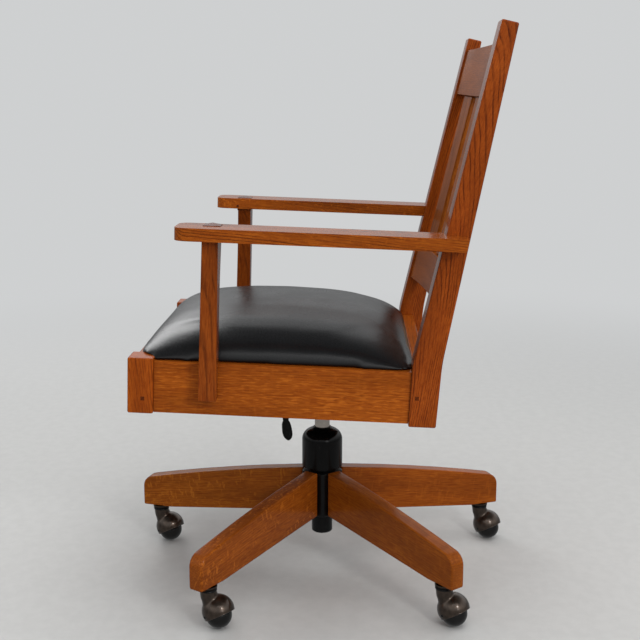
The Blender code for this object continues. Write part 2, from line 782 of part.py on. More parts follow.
def cross_rail(name, front):
    """The front rail or the rear rail, between two posts."""
    half = POST_IN - GAP
    rail = box(name, (-half, front, RAIL_LOW), (half, front + RAIL_THICK, RAIL_HIGH), OAK)
    ease(rail, 0.0015)
    return on_seat(rail)


def batten(name, middle):
    half = RAIL_IN - GAP
    piece = box(name, (-half, middle - BATTEN_WIDE / 2, RAIL_LOW),
                (half, middle + BATTEN_WIDE / 2, BATTEN_HIGH), OAK)
    return on_seat(piece)


def seat_frame():
    for side, word in ((1, "left"), (-1, "right")):
        front_post("front_post_" + word, side)
        back_post("back_post_" + word, side)
        side_rail("side_rail_" + word, side)
        armrest("armrest_" + word, side)
        arm_prop("arm_prop_" + word, side)
    cross_rail("front_rail", FRONT_Y + REVEAL)
    cross_rail("rear_rail", BACK_Y_LOW + REVEAL)
    for word, middle in zip(("front", "rear"), BATTEN_Y):
        batten("batten_" + word, middle)


def rear_edge(height):
    """Where the straight rear edge of a back post stands at a height."""
    share = (height - BEND_REAR.y) / (POST_TOP_REAR.y - BEND_REAR.y)
    return BEND_REAR.lerp(POST_TOP_REAR, share).x


def armrest(name, side):
    """A flat arm, its front corners rounded, let round the outside of the back post."""
    inner = ARMREST_OUT - ARMREST_WIDE
    outer = ARMREST_OUT
    front = ARMREST_FRONT
    middle = ARMREST_TOP - ARMREST_THICK / 2
    rear = rear_edge(middle) - ARMREST_SHORT
    outline = [(outer, rear), (inner, rear)]
    outline += rounded_corner((inner, rear), (inner, front), (outer, front), ARMREST_CORNER, 5)
    outline += rounded_corner((inner, front), (outer, front), (outer, rear), ARMREST_CORNER, 5)
    arm = board(name, [(side * x, y) for x, y in outline], ARMREST_THICK, OAK)
    lean = (rear_edge(ARMREST_TOP) - rear_edge(ARMREST_LOW)) / ARMREST_THICK
    for vertex in arm.data.vertices:
        if vertex.co.y > rear - GAP:
            vertex.co.y += lean * vertex.co.z
    arm.location = (0, 0, middle)
    ease(arm, 0.0025)
    on_seat(arm)
    post = board(name + "_notch", back_post_outline(GAP), POST_THICK + 2 * GAP, None, facing="X")
    post.location = (side * (POST_OUT - POST_THICK / 2), 0, 0)
    cut(arm, on_seat(post))
    mortise = TENON / 2 + GAP
    slot = box(name + "_mortise", (-mortise, -mortise, ARMREST_LOW - 0.01),
               (mortise, mortise, ARMREST_TOP + 0.01))
    slot.location = (side * (TENON_OUT - TENON / 2), PROP_MID_Y, slot.location.z)
    cut(arm, on_seat(slot))
    return arm


def arm_prop(name, side):
    """The post under an armrest: straight outside, curving out inside to carry the arm."""
    top = ARMREST_LOW - GAP
    outer = PROP_OUT
    inner_low = RAIL_OUT + GAP
    inner_top = PROP_OUT - PROP_TOP_THICK
    curve = []
    steps = 8
    for i in range(steps + 1):
        share = i / steps
        height = PROP_FLARE + (top - PROP_FLARE) * share
        curve.append((inner_low + (inner_top - inner_low) * share ** 2.2, height))
    outline = [(inner_low, PROP_LOW)] + curve + [(outer, top), (outer, PROP_LOW)]
    outline = [(side * x, z) for x, z in outline]
    prop = board(name, outline, PROP_DEEP_LOW, OAK, facing="Y")
    for vertex in prop.data.vertices:
        share = (vertex.co.z - PROP_LOW) / (top - PROP_LOW)
        vertex.co.y *= 1 + (PROP_DEEP_TOP / PROP_DEEP_LOW - 1) * share
    prop.location = (0, PROP_MID_Y, 0)
    ease(prop, 0.002)
    on_seat(prop)
    middle = side * (TENON_OUT - TENON / 2)
    tenon = box(name + "_tenon", (-TENON / 2, -TENON / 2, top - 0.004),
                (TENON / 2, TENON / 2, ARMREST_TOP + TENON_PROUD))
    tenon.location = (middle, PROP_MID_Y, tenon.location.z)
    join(prop, on_seat(tenon))
    peak = rod(name + "_peak", TENON / math.sqrt(2), ARMREST_TOP + TENON_PROUD - 0.0001,
               ARMREST_TOP + TENON_PROUD + TENON_PEAK, sides=4, radius_high=0.001)
    peak.location = (middle, PROP_MID_Y, 0)
    peak.rotation_euler = (0, 0, math.pi / 4)
    join(prop, on_seat(peak))
    return prop


# Back


def bow(x):
    """How far the middle line of the back bends behind its ends."""
    return BACK_BOW * (1 - (x / POST_IN) ** 2)


def bowed_rail(name, low, high):
    """A rail bent in plan between the two back posts."""
    half = POST_IN - GAP
    steps = 12
    stations = [-half + 2 * half * i / steps for i in range(steps + 1)]
    outline = [(x, BACK_SET + bow(x)) for x in stations]
    outline += [(x, BACK_SET + bow(x) + BACK_RAIL_THICK) for x in reversed(stations)]
    rail = board(name, outline, high - low, OAK)
    ease(rail, 0.002)
    return put(rail, BACK, (0, 0, (low + high) / 2))


def slat(name, x):
    """A flat slat housed between the two rails, turned to follow their bow."""
    length = CREST_LOW - LOWER_RAIL_HIGH - 2 * GAP
    half = Vector((SLAT_WIDE, SLAT_THICK, length)) / 2
    piece = box(name, -half, half, OAK)
    ease(piece, 0.0018)
    slope = math.atan2(-2 * BACK_BOW * x, POST_IN ** 2)
    depth = BACK_SET + bow(x) + BACK_RAIL_THICK / 2
    return put(piece, BACK, (x, depth, (CREST_LOW + LOWER_RAIL_HIGH) / 2), (0, 0, slope))


def back():
    bowed_rail("lower_rail", LOWER_RAIL_LOW, LOWER_RAIL_HIGH)
    bowed_rail("crest_rail", CREST_LOW, CREST_HIGH)
    for i in range(SLATS):
        slat("back_slat_%d" % (i + 1), (i - (SLATS - 1) / 2) * SLAT_PITCH)


# Seat board and cushion


def cut_corners(made, front, rear, top):
    """Cuts a left and a right corner away, as wide as the posts that stand in them."""
    for side in (-1, 1):
        edges = sorted((side * (POST_IN - GAP), side * (POST_OUT + 0.01)))
        corner = box(made.name + "_corner", (edges[0], front, RAIL_LOW), (edges[1], rear, top))
        cut(made, on_seat(corner))


def seat_board():
    """The plywood that the cushion is upholstered on, lying on the battens' blocks."""
    half = RAIL_IN - GAP
    front = FRONT_Y + REVEAL + RAIL_THICK + GAP
    rear = BACK_Y_LOW + REVEAL - GAP
    panel = box("seat_board", (-half, front, RAIL_HIGH - BOARD_THICK), (half, rear, RAIL_HIGH),
                PLYWOOD)
    on_seat(panel)
    cut_corners(panel, FRONT_Y - 0.01, FRONT_Y + FRONT_POST_DEEP + GAP, RAIL_HIGH + 0.01)
    cut_corners(panel, BACK_Y_LOW - GAP, KINK_Y + 0.05, RAIL_HIGH + 0.01)
    return panel


def cushion():
    """Crowned, with its sides drawn in between the corners, on a coarse cage."""
    low = RAIL_HIGH + GAP
    middle = (CUSHION_FRONT + CUSHION_BACK) / 2
    half_deep = (CUSHION_BACK - CUSHION_FRONT) / 2
    shape = bmesh.new()
    bmesh.ops.create_cube(shape, size=2)
    bmesh.ops.subdivide_edges(shape, edges=shape.edges, cuts=3, use_grid_fill=True)
    for vertex in shape.verts:
        across, along, up = vertex.co
        across = math.copysign(abs(across) ** CUSHION_HOLD, across)
        along = math.copysign(abs(along) ** CUSHION_HOLD, along)
        share = (up + 1) / 2
        x = across * (CUSHION_OUT - CUSHION_DRAW * (1 - along ** 2) - CUSHION_LEAN * share ** 2)
        y = along * (half_deep - CUSHION_DRAW * (1 - across ** 2) - CUSHION_LEAN * share ** 2)
        crown = CUSHION_CROWN
        crown *= (1 - abs(across) ** CUSHION_DOME) * (1 - abs(along) ** CUSHION_DOME)
        corner = CUSHION_PINCH * abs(across * along) ** CUSHION_PINCH_NEAR
        edge_height = CUSHION_EDGE * (1 - corner)
        vertex.co = (x, middle + y, low + share * edge_height + share ** 2 * crown)
    point_crease = shape.verts.layers.float.new("crease_vert")
    for vertex in shape.verts:
        if vertex.co.z < low + 0.0001 and len(vertex.link_edges) == 3:
            vertex[point_crease] = 0.8
    crease = shape.edges.layers.float.new("crease_edge")
    for edge in shape.edges:
        outer = edge.calc_face_angle() > math.radians(45)
        if outer and max(vertex.co.z for vertex in edge.verts) < low + 0.0001:
            edge[crease] = 0.9
    mesh = bpy.data.meshes.new("cushion")
    shape.to_mesh(mesh)
    shape.free()
    pad = add_object("cushion", mesh, LEATHER)
    soft = pad.modifiers.new("soft", "SUBSURF")
    soft.levels = 1
    soft.render_levels = 1
    pad.data.shade_smooth()
    on_seat(pad)
    cut_corners(pad, FRONT_Y - 0.01, FRONT_Y + FRONT_POST_DEEP + GAP, FRONT_POST_HIGH + GAP)
    cut_corners(pad, KINK_Y - 2 * GAP, KINK_Y + 0.05, RAIL_HIGH + 0.1)
    return pad


base()
mechanism()
seat_frame()
back()
seat_board()
cushion()
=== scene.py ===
"""Finishes and fine detail of an oak swivel armchair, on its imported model.

Everything is in metres in the frame of the model: +Z is up, the sitter faces -Y.
"""

import json
import math

import bmesh
import bpy
from bpy.props import FloatProperty, FloatVectorProperty, PointerProperty
from mathutils import Matrix, Vector


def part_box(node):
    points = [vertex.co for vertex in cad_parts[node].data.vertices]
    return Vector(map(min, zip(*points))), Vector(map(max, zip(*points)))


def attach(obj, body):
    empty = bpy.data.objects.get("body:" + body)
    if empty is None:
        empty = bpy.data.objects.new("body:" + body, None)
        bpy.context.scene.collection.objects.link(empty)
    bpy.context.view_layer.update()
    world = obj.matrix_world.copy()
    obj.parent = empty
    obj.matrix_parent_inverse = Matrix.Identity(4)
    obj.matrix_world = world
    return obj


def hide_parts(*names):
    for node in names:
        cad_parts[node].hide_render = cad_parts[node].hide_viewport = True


bl_info = {
    "name": "Oak swivel armchair",
    "version": (1, 0, 0),
    "blender": (4, 5, 0),
    "location": "3D View > Sidebar > Armchair",
    "description": "Makes the wood, leather and metal of an oak swivel armchair",
    "category": "Object",
}

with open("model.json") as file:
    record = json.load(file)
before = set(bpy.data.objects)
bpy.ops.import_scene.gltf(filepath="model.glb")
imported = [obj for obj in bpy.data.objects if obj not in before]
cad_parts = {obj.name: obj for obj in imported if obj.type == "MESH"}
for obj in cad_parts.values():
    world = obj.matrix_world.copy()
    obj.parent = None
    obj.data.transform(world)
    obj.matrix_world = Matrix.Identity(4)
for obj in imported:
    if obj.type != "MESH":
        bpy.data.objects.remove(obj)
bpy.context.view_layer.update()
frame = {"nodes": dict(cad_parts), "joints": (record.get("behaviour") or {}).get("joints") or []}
JOINTS = {joint["name"]: joint for joint in frame["joints"]}

# Turns, places and sizes that the steps share
COLUMN = Vector(JOINTS["seat_swivel"]["pos_m"])
SEAT_PITCH = math.radians(2.07)
RAKE = math.radians(10.94)
BASE_ARMS = 5
BASE_TURN = math.radians(3.2)
ARM_FALL = 0.11                    # slope of a base arm's middle line
CREST_ARCH = 0.0095                # rise of the crest rail's top edge in its middle
PEG_LONG = 0.0040
PEG_PROUD = 0.0004
ROD_R = 0.0140                     # the bright rod of the gas lift
COVER_MESH = 0.005                 # side of the even faces that the cushion's cover is made of
SWELL_FRAMES = 20
PLATE_SCREWS = (-0.1050, -0.0830, 0.0650, 0.0870)    # their places from front to back
PLATE_SCREW_OUT = 0.082                              # how far they are from the middle

# Casters, each in a frame that stands on the floor under its stem
TRAIL = 0.0165
HOOD_MID = 0.0290
HOOD_R = 0.0276
HOOD_WALL = 0.0016
HOOD_POLE = Vector((-0.30, -0.40, 0.87)).normalized()
HOOD_CUT = 0.0080
NECK_R = 0.0150
NECK_TOP = 0.0707
STEM_HIGH = 0.108
WEB_R = 0.0158

# Camera of the photograph, found from the chair's own points. Lengths on the picture are in pixels
PICTURE = 640
FOCAL = 1083.7542
AIM_PIXEL = (311.2204, 315.9154)
CAMERA_PLACE = Vector((1.9562, 0.0574, 0.8599))      # x counts from the column
CAMERA_DOWN = math.radians(11.0986)
CAMERA_TURN = math.radians(2.2875)


def tilted(angle):
    """A turn backwards about the X axis."""
    return Matrix.Rotation(-angle, 3, "X")


SEAT_TURN = tilted(SEAT_PITCH)
BACK_TURN = tilted(SEAT_PITCH + RAKE)


# Settings that a user would change


def tone_setting(name, description, default):
    return FloatVectorProperty(name=name, description=description, subtype="COLOR", size=3, min=0, max=1,
                               default=default)


def length_setting(name, description, default, low, high):
    return FloatProperty(name=name, description=description, subtype="DISTANCE", unit="LENGTH", min=low,
                         max=high, default=default)


class ArmchairWood(bpy.types.PropertyGroup):
    """Colours and grain of the lacquered oak"""
    light: tone_setting("Light wood", "Colour of the wood between the dark lines", (0.540, 0.142, 0.0120))
    middle: tone_setting("Middle wood", "Most common colour of the wood", (0.286, 0.0570, 0.0042))
    dark: tone_setting("Dark lines", "Colour of the stained early wood", (0.062, 0.0092, 0.0016))
    ring: length_setting("Ring width", "Distance from one year ring to the next", 0.0042, 0.001, 0.02)
    lacquer: FloatProperty(
        name="Lacquer", description="Weight of the clear coat",
        subtype="FACTOR", min=0, max=1, default=1.0)
    peg: length_setting("Peg", "Side of the square pegs", 0.0068, 0.002, 0.02)


class ArmchairSeat(bpy.types.PropertyGroup):
    """The padded seat"""
    leather: tone_setting("Leather", "Colour of the seat's leather", (0.0090, 0.0092, 0.0101))
    pressure: FloatProperty(
        name="Filling", description="Pressure of the filling while it swells",
        min=0, max=20, default=4.0)
    swell: length_setting("Swell", "How far the leather may bulge sideways from the model",
                          0.004, 0, 0.02)
    rise: length_setting("Rise", "How far the leather may rise from the model", 0.001, 0, 0.02)
    overhang: length_setting("Overhang", "How far the cushion's front hangs over the frame",
                             0.006, 0, 0.02)


class ArmchairMetal(bpy.types.PropertyGroup):
    """Metal and moulded pieces"""
    bronze: tone_setting("Caster bronze", "Colour of the caster hoods", (0.060, 0.042, 0.031))
    steel: tone_setting("Bright steel", "Colour of the lift rod and pins", (0.54, 0.485, 0.43))
    black: tone_setting("Black", "Colour of the black steel and plastic", (0.0024, 0.0022, 0.0021))


class ArmchairStage(bpy.types.PropertyGroup):
    """Floor, background and lamps"""
    floor: tone_setting("Floor", "Colour of the floor", (0.56, 0.555, 0.54))
    background: tone_setting("Background", "Colour behind the chair", (0.62, 0.63, 0.635))
    fill: FloatProperty(
        name="Fill light", description="Strength of the light from all round",
        min=0, max=3, default=0.62)


# Meshes


def add_object(name, mesh, matrix=None, finish=None):
    made = bpy.data.objects.new(name, mesh)
    bpy.context.scene.collection.objects.link(made)
    if matrix is not None:
        made.matrix_world = matrix
    if finish:
        made.data.materials.append(finish)
    return made


def mesh_from(shape, name):
    mesh = bpy.data.meshes.new(name)
    shape.to_mesh(mesh)
    shape.free()
    if "custom_normal" in mesh.attributes:
        mesh.attributes.remove(mesh.attributes["custom_normal"])
    return mesh


def smooth(made, angle=50):
    made.data.shade_smooth()
    made.data.set_sharp_from_angle(angle=math.radians(angle))


def apply_modifiers(made):
    """Replaces an object's mesh by its evaluated one."""
    bpy.context.view_layer.update()
    graph = bpy.context.evaluated_depsgraph_get()
    mesh = bpy.data.meshes.new_from_object(made.evaluated_get(graph), depsgraph=graph)
    made.modifiers.clear()
    made.data = mesh


def cut_away(made, tool):
    step = made.modifiers.new(tool.name, "BOOLEAN")
    step.operation = "DIFFERENCE"
    step.object = tool


def round_edges(made, width, segments=2, angle=60):
    step = made.modifiers.new("rounded_edges", "BEVEL")
    step.width = width
    step.segments = segments
    step.limit_method = "ANGLE"
    step.angle_limit = math.radians(angle)
    step.use_clamp_overlap = True


def flat_faces(made):
    step = made.modifiers.new("flat_faces", "WEIGHTED_NORMAL")
    step.keep_sharp = True


def join_rings(shape, pairs, steps):
    """Puts faces between pairs of rings. A ring of a single corner closes the form."""
    for first, second in pairs:
        for i in range(steps):
            j = (i + 1) % steps
            corners = [first[i % len(first)], first[j % len(first)],
                       second[j % len(second)], second[i % len(second)]]
            shape.faces.new(list(dict.fromkeys(corners)))
    bmesh.ops.recalc_face_normals(shape, faces=shape.faces)


def turned_mesh(name, profile, steps=48):
    """A profile of (radius, height) points turned about Z, closed where it meets the axis."""
    shape = bmesh.new()
    rings = []
    for radius, height in profile:
        if radius < 1e-7:
            rings.append([shape.verts.new((0, 0, height))])
            continue
        rings.append([shape.verts.new((radius * math.cos(2 * math.pi * i / steps),
                                       radius * math.sin(2 * math.pi * i / steps), height))
                      for i in range(steps)])
    pairs = list(zip(rings, rings[1:]))
    if len(rings[0]) > 1 and len(rings[-1]) > 1:
        pairs.append((rings[-1], rings[0]))
    join_rings(shape, pairs, steps)
    return mesh_from(shape, name)


def arc(centre, radius, start, end, steps):
    """Points on an arc, angles in degrees."""
    points = []
    for i in range(steps + 1):
        angle = math.radians(start + (end - start) * i / steps)
        points.append((centre[0] + radius * math.cos(angle), centre[1] + radius * math.sin(angle)))
    return points


def block_mesh(name, size, rounding=0.0):
    shape = bmesh.new()
    bmesh.ops.create_cube(shape, size=1)
    bmesh.ops.scale(shape, vec=Vector(size), verts=shape.verts)
    if rounding:
        bmesh.ops.bevel(shape, geom=list(shape.edges), offset=rounding, segments=2,
                        affect="EDGES", profile=0.5)
    return mesh_from(shape, name)


def node_copy(node, clean=True):
    """A bmesh of a node of the model, its corners joined and its flat faces whole."""
    shape = bmesh.new()
    shape.from_mesh(frame["nodes"][node].data)
    bmesh.ops.remove_doubles(shape, verts=shape.verts, dist=0.000002)
    if clean:
        bmesh.ops.dissolve_limit(shape, angle_limit=math.radians(0.4), verts=shape.verts,
                                 edges=shape.edges, use_dissolve_boundaries=False)
    return shape


# Shader nodes


def new_material(name):
    """A material with an empty tree that holds only its output and a Principled shader."""
    made = bpy.data.materials.new(name)
    made.use_nodes = True
    tree = made.node_tree
    tree.nodes.clear()
    output = tree.nodes.new("ShaderNodeOutputMaterial")
    shader = tree.nodes.new("ShaderNodeBsdfPrincipled")
    tree.links.new(shader.outputs[0], output.inputs["Surface"])
    return made, tree, shader


def feed(tree, socket, value):
    """Sets a socket to a value, or links it to another node's output."""
    if isinstance(value, bpy.types.NodeSocket):
        tree.links.new(value, socket)
    elif value is not None:
        socket.default_value = value


def feed_all(tree, node, values):
    """Feeds several of a node's inputs, each under its name."""
    for name, value in values.items():
        feed(tree, node.inputs[name], value)


def maths(tree, operation, first, second=None):
    node = tree.nodes.new("ShaderNodeMath")
    node.operation = operation
    for socket, value in zip(node.inputs, (first, second)):
        feed(tree, socket, value)
    return node.outputs[0]


def times(tree, first, second):
    return maths(tree, "MULTIPLY", first, second)


def plus(tree, first, second):
    return maths(tree, "ADD", first, second)


def noise_at(tree, vector, scale=1.0, detail=2.0, roughness=0.5, distortion=0.0):
    node = tree.nodes.new("ShaderNodeTexNoise")
    feed_all(tree, node, {"Vector": vector, "Scale": scale, "Detail": detail,
                          "Roughness": roughness, "Distortion": distortion})
    return node.outputs["Fac"]


def streaks(tree, vector, factors, detail, roughness, distortion=0.0):
    """Noise that is finest along the axes with the largest factors."""
    node = tree.nodes.new("ShaderNodeVectorMath")
    node.operation = "MULTIPLY"
    tree.links.new(vector, node.inputs[0])
    node.inputs[1].default_value = factors
    return noise_at(tree, node.outputs[0], 1.0, detail, roughness, distortion)


def spread(tree, value, low, high, to_low=0.0, to_high=1.0):
    node = tree.nodes.new("ShaderNodeMapRange")
    node.interpolation_type = "SMOOTHSTEP"
    feed_all(tree, node, {"Value": value, "From Min": low, "From Max": high,
                          "To Min": to_low, "To Max": to_high})
    return node.outputs["Result"]


def blended(tree, factor, first, second, kind="MIX"):
    """Mixes two colours."""
    node = tree.nodes.new("ShaderNodeMix")
    node.data_type = "RGBA"
    node.blend_type = kind
    feed(tree, node.inputs["Factor"], factor)
    for name, value in (("A", first), ("B", second)):
        socket = next(s for s in node.inputs if s.name == name and s.type == "RGBA")
        feed(tree, socket, value if isinstance(value, bpy.types.NodeSocket) else (*value, 1))
    return next(s for s in node.outputs if s.type == "RGBA")


def toned(tone, factor, most=1):
    """A colour times a factor."""
    return tuple(min(most, channel * factor) for channel in tone)


def bump(tree, shader, height, distance, strength):
    node = tree.nodes.new("ShaderNodeBump")
    feed_all(tree, node, {"Distance": distance, "Strength": strength, "Height": height})
    tree.links.new(node.outputs[0], shader.inputs["Normal"])


def off_middle(tree, value, reach):
    """Turns a noise between 0 and 1 into a shift to both sides."""
    return times(tree, maths(tree, "SUBTRACT", value, 0.5), reach)


def joined(tree, x, y=0.0, z=0.0):
    node = tree.nodes.new("ShaderNodeCombineXYZ")
    for socket, value in zip(node.inputs, (x, y, z)):
        feed(tree, socket, value)
    return node.outputs[0]


def parts_of(tree, vector):
    """The x, y and z of a vector."""
    node = tree.nodes.new("ShaderNodeSeparateXYZ")
    tree.links.new(vector, node.inputs[0])
    return node.outputs


def place_of(tree):
    node = tree.nodes.new("ShaderNodeTexCoord")
    return node.outputs["Object"]


def attribute(tree, name, output="Vector"):
    node = tree.nodes.new("ShaderNodeAttribute")
    node.attribute_name = name
    return node.outputs[output]


def oak_finish(name="lacquered_oak", lacquer=None):
    """Oak in the round: rings about a pith, pores, fibres and ray fleck, under lacquer.

    Each board's mesh carries where it lay in the log as log_place, with x along the
    pith, its tint as board_tint (on the boards of the back partly painted shade), and as
    board_look how strongly it shows the dark lines, the ray fleck and the short light fibres.
    """
    if name in bpy.data.materials:
        return bpy.data.materials[name]
    wood = bpy.context.scene.armchair_wood
    made, tree, shader = new_material(name)
    log = attribute(tree, "log_place")
    lines, figure, dashes = parts_of(tree, attribute(tree, "board_look"))
    x, y, z = parts_of(tree, log)
    radius = maths(tree, "SQRT", plus(tree, times(tree, y, y), times(tree, z, z)))
    wander = off_middle(tree, streaks(tree, log, (2.6, 13, 13), 2.0, 0.45), 0.020)
    ripple = off_middle(tree, streaks(tree, log, (14, 60, 60), 1.0, 0.5), 0.0018)
    bent = plus(tree, radius, plus(tree, wander, ripple))
    rings = maths(tree, "DIVIDE", bent, wood.ring)
    growth = noise_at(tree, joined(tree, times(tree, rings, 0.37)), 1.0, 1.0, 0.5)
    rings = plus(tree, rings, times(tree, growth, 1.6))
    year = maths(tree, "FRACT", rings)
    early = times(tree, spread(tree, year, 0.0, 0.10), spread(tree, year, 0.12, 0.46, 1.0, 0.0))
    strength = streaks(tree, log, (5, 80, 80), 2.0, 0.55)
    early = times(tree, early, spread(tree, strength, 0.32, 0.62, 0.15, 1.0))
    early = times(tree, early, lines)
    fibre = streaks(tree, log, (34, 520, 520), 2.0, 0.6)
    dash = spread(tree, streaks(tree, log, (62, 360, 360), 1.0, 0.5), 0.50, 0.70)
    pores = streaks(tree, log, (75, 1500, 1500), 1.0, 0.5)
    pores = times(tree, spread(tree, pores, 0.56, 0.68), plus(tree, 0.35, times(tree, early, 0.65)))
    turn = maths(tree, "ARCTAN2", z, y)
    rays = noise_at(tree, joined(tree, times(tree, x, 170), times(tree, radius, 26),
                                 times(tree, turn, 22)), 1.0, 1.0, 0.5, 0.7)
    crowd = streaks(tree, log, (22, 45, 45), 1.0, 0.5)
    fleck = times(tree, spread(tree, rays, 0.56, 0.68), spread(tree, crowd, 0.36, 0.60))
    fleck = times(tree, fleck, figure)
    patch = streaks(tree, log, (4, 20, 20), 2.0, 0.5)

    base = blended(tree, spread(tree, fibre, 0.30, 0.70), wood.middle,
                   tuple((a + b) / 2 for a, b in zip(wood.middle, wood.light)))
    base = blended(tree, times(tree, dash, dashes), base, wood.light)
    base = blended(tree, spread(tree, patch, 0.30, 0.72, 0.0, 0.60), base, toned(wood.middle, 0.62))
    base = blended(tree, times(tree, fleck, 0.60), base, toned(wood.light, 1.15))
    base = blended(tree, times(tree, early, 0.85), base, wood.dark)
    base = blended(tree, times(tree, pores, 0.60), base, toned(wood.dark, 0.4))
    # Multiplies in the board's tint. On the back's boards this is partly painted shade.
    base = blended(tree, 1.0, base, attribute(tree, "board_tint", "Color"), "MULTIPLY")
    rough = plus(tree, 0.40, times(tree, pores, 0.18))
    rough = plus(tree, rough, times(tree, patch, 0.10))
    feed_all(tree, shader, {"Base Color": base, "Roughness": rough, "Specular IOR Level": 0.03,
                            "Coat Weight": wood.lacquer if lacquer is None else lacquer,
                            "Coat Roughness": 0.13, "Coat IOR": 1.17})
    grain = maths(tree, "SUBTRACT", times(tree, fibre, 0.35),
                  plus(tree, times(tree, early, 0.35), pores))
    bump(tree, shader, grain, 0.00022, 0.8)
    return made


def leather_finish():
    """Black upholstery leather: pebbled grain, fine wrinkles and worn patches."""
    if "black_leather" in bpy.data.materials:
        return bpy.data.materials["black_leather"]
    seat = bpy.context.scene.armchair_seat
    made, tree, shader = new_material("black_leather")
    place = place_of(tree)
    cells = tree.nodes.new("ShaderNodeTexVoronoi")
    cells.feature = "DISTANCE_TO_EDGE"
    tree.links.new(place, cells.inputs["Vector"])
    cells.inputs["Scale"].default_value = 520
    pebble = spread(tree, cells.outputs["Distance"], 0.0, 0.35)
    wrinkle = streaks(tree, place, (60, 26, 60), 3.0, 0.55, 0.6)
    patch = noise_at(tree, place, 7.0, 3.0, 0.5)
    wear = spread(tree, patch, 0.38, 0.72)
    base = blended(tree, times(tree, wear, 0.7), seat.leather, toned(seat.leather, 1.6))
    base = blended(tree, spread(tree, pebble, 0.0, 0.5, 0.5, 0.0), base, (0.002, 0.002, 0.002))
    rough = plus(tree, 0.24, times(tree, wear, 0.07))
    rough = plus(tree, rough, spread(tree, pebble, 0.0, 0.6, 0.06, 0.0))
    feed_all(tree, shader, {"Base Color": base, "Roughness": rough, "Specular IOR Level": 0.30})
    height = plus(tree, times(tree, pebble, 0.35), wrinkle)
    bump(tree, shader, height, 0.00035, 0.25)
    return made


def metal_finish(name, tint, roughness, metallic=1.0, brushed=0.0, speckle=0.0, coat=0.0,
                 bump_depth=0.00004, gloss=0.5, uneven=1.0):
    """A metal or moulded surface with slight mottling, scuffs and a fine bump."""
    if name in bpy.data.materials:
        return bpy.data.materials[name]
    made, tree, shader = new_material(name)
    place = place_of(tree)
    mottle = noise_at(tree, place, 85.0, 3.0, 0.6)
    fine = noise_at(tree, place, 900.0, 2.0, 0.5)
    scuff = spread(tree, streaks(tree, place, (40, 220, 90), 3.0, 0.6), 0.58, 0.74)
    base = blended(tree, spread(tree, mottle, 0.32, 0.70), toned(tint, 1 - 0.28 * uneven),
                   toned(tint, 1 + 0.25 * uneven))
    if speckle:
        base = blended(tree, times(tree, scuff, speckle), base,
                       tuple(min(1, c * 2.2 + 0.01) for c in tint))
    rough = plus(tree, roughness - 0.04, times(tree, mottle, 0.08))
    rough = plus(tree, rough, times(tree, scuff, 0.10))
    feed_all(tree, shader, {"Base Color": base, "Metallic": metallic, "Roughness": rough,
                            "Specular IOR Level": gloss, "Coat Weight": coat, "Coat Roughness": 0.10})
    height = plus(tree, mottle, times(tree, fine, 0.5))
    if brushed:
        lines = streaks(tree, place, (60, 60, 2400), 2.0, 0.6)
        height = plus(tree, height, times(tree, lines, brushed))
    bump(tree, shader, height, bump_depth, 0.7)
    return made


def bronze_finish():
    return metal_finish("caster_bronze", bpy.context.scene.armchair_metal.bronze, 0.30, 0.85,
                        speckle=0.35, coat=0.35, bump_depth=0.00010)


def bright_finish():
    return metal_finish("polished_steel", bpy.context.scene.armchair_metal.steel, 0.16,
                        brushed=0.3, bump_depth=0.00001, uneven=0.25)


def black_steel_finish():
    return metal_finish("painted_steel", bpy.context.scene.armchair_metal.black, 0.34, 0.0,
                        speckle=0.25, bump_depth=0.00012, gloss=0.22)


def black_plastic_finish():
    return metal_finish("moulded_black", bpy.context.scene.armchair_metal.black, 0.17, 0.0,
                        speckle=0.3, bump_depth=0.00003, gloss=0.18)


def rubber_finish():
    return metal_finish("ball_black", (0.006, 0.0055, 0.005), 0.16, 0.0, speckle=0.3,
                        bump_depth=0.00005, gloss=0.35)


def plywood_finish():
    """Stained plywood whose plies show at its edge."""
    if "birch_ply" in bpy.data.materials:
        return bpy.data.materials["birch_ply"]
    made, tree, shader = new_material("birch_ply")
    place = place_of(tree)
    ply = maths(tree, "FRACT", times(tree, parts_of(tree, place)[2], 420))
    grain = streaks(tree, place, (14, 240, 600), 3.0, 0.6)
    base = blended(tree, spread(tree, grain, 0.3, 0.7), (0.085, 0.042, 0.018), (0.135, 0.070, 0.030))
    base = blended(tree, spread(tree, ply, 0.45, 0.60, 0.0, 0.30), base, (0.045, 0.022, 0.010))
    feed_all(tree, shader, {"Base Color": base, "Roughness": 0.7})
    bump(tree, shader, grain, 0.0002, 0.6)
    return made


# Boards


def put_in_log(made, length, face, centre, pith, seed, tint, look, slope=0.0, tight=1.0):
    """Writes where each corner of a board lay in its log.

    length runs along the board and face is the normal of its main face. pith is how far
    the pith lies from the board's middle, along the face's normal and across it. tight
    above 1 sets the rings closer.
    """
    length = length.normalized()
    across = length.cross(face).normalized()
    face = across.cross(length)
    mesh = made.data
    for name in ("log_place", "board_tint", "board_look"):
        mesh.attributes.new(name, "FLOAT_VECTOR", "POINT")
    turn = made.matrix_world.copy()
    places = []
    for vertex in mesh.vertices:
        offset = turn @ vertex.co - centre
        along = offset.dot(length)
        places += [along + seed * 1.7, (offset.dot(face) + pith[0] + slope * along) * tight,
                   (offset.dot(across) + pith[1]) * tight]
    count = len(mesh.vertices)
    mesh.attributes["log_place"].data.foreach_set("vector", places)
    mesh.attributes["board_tint"].data.foreach_set("vector", list(tint) * count)
    mesh.attributes["board_look"].data.foreach_set("vector", list(look) * count)


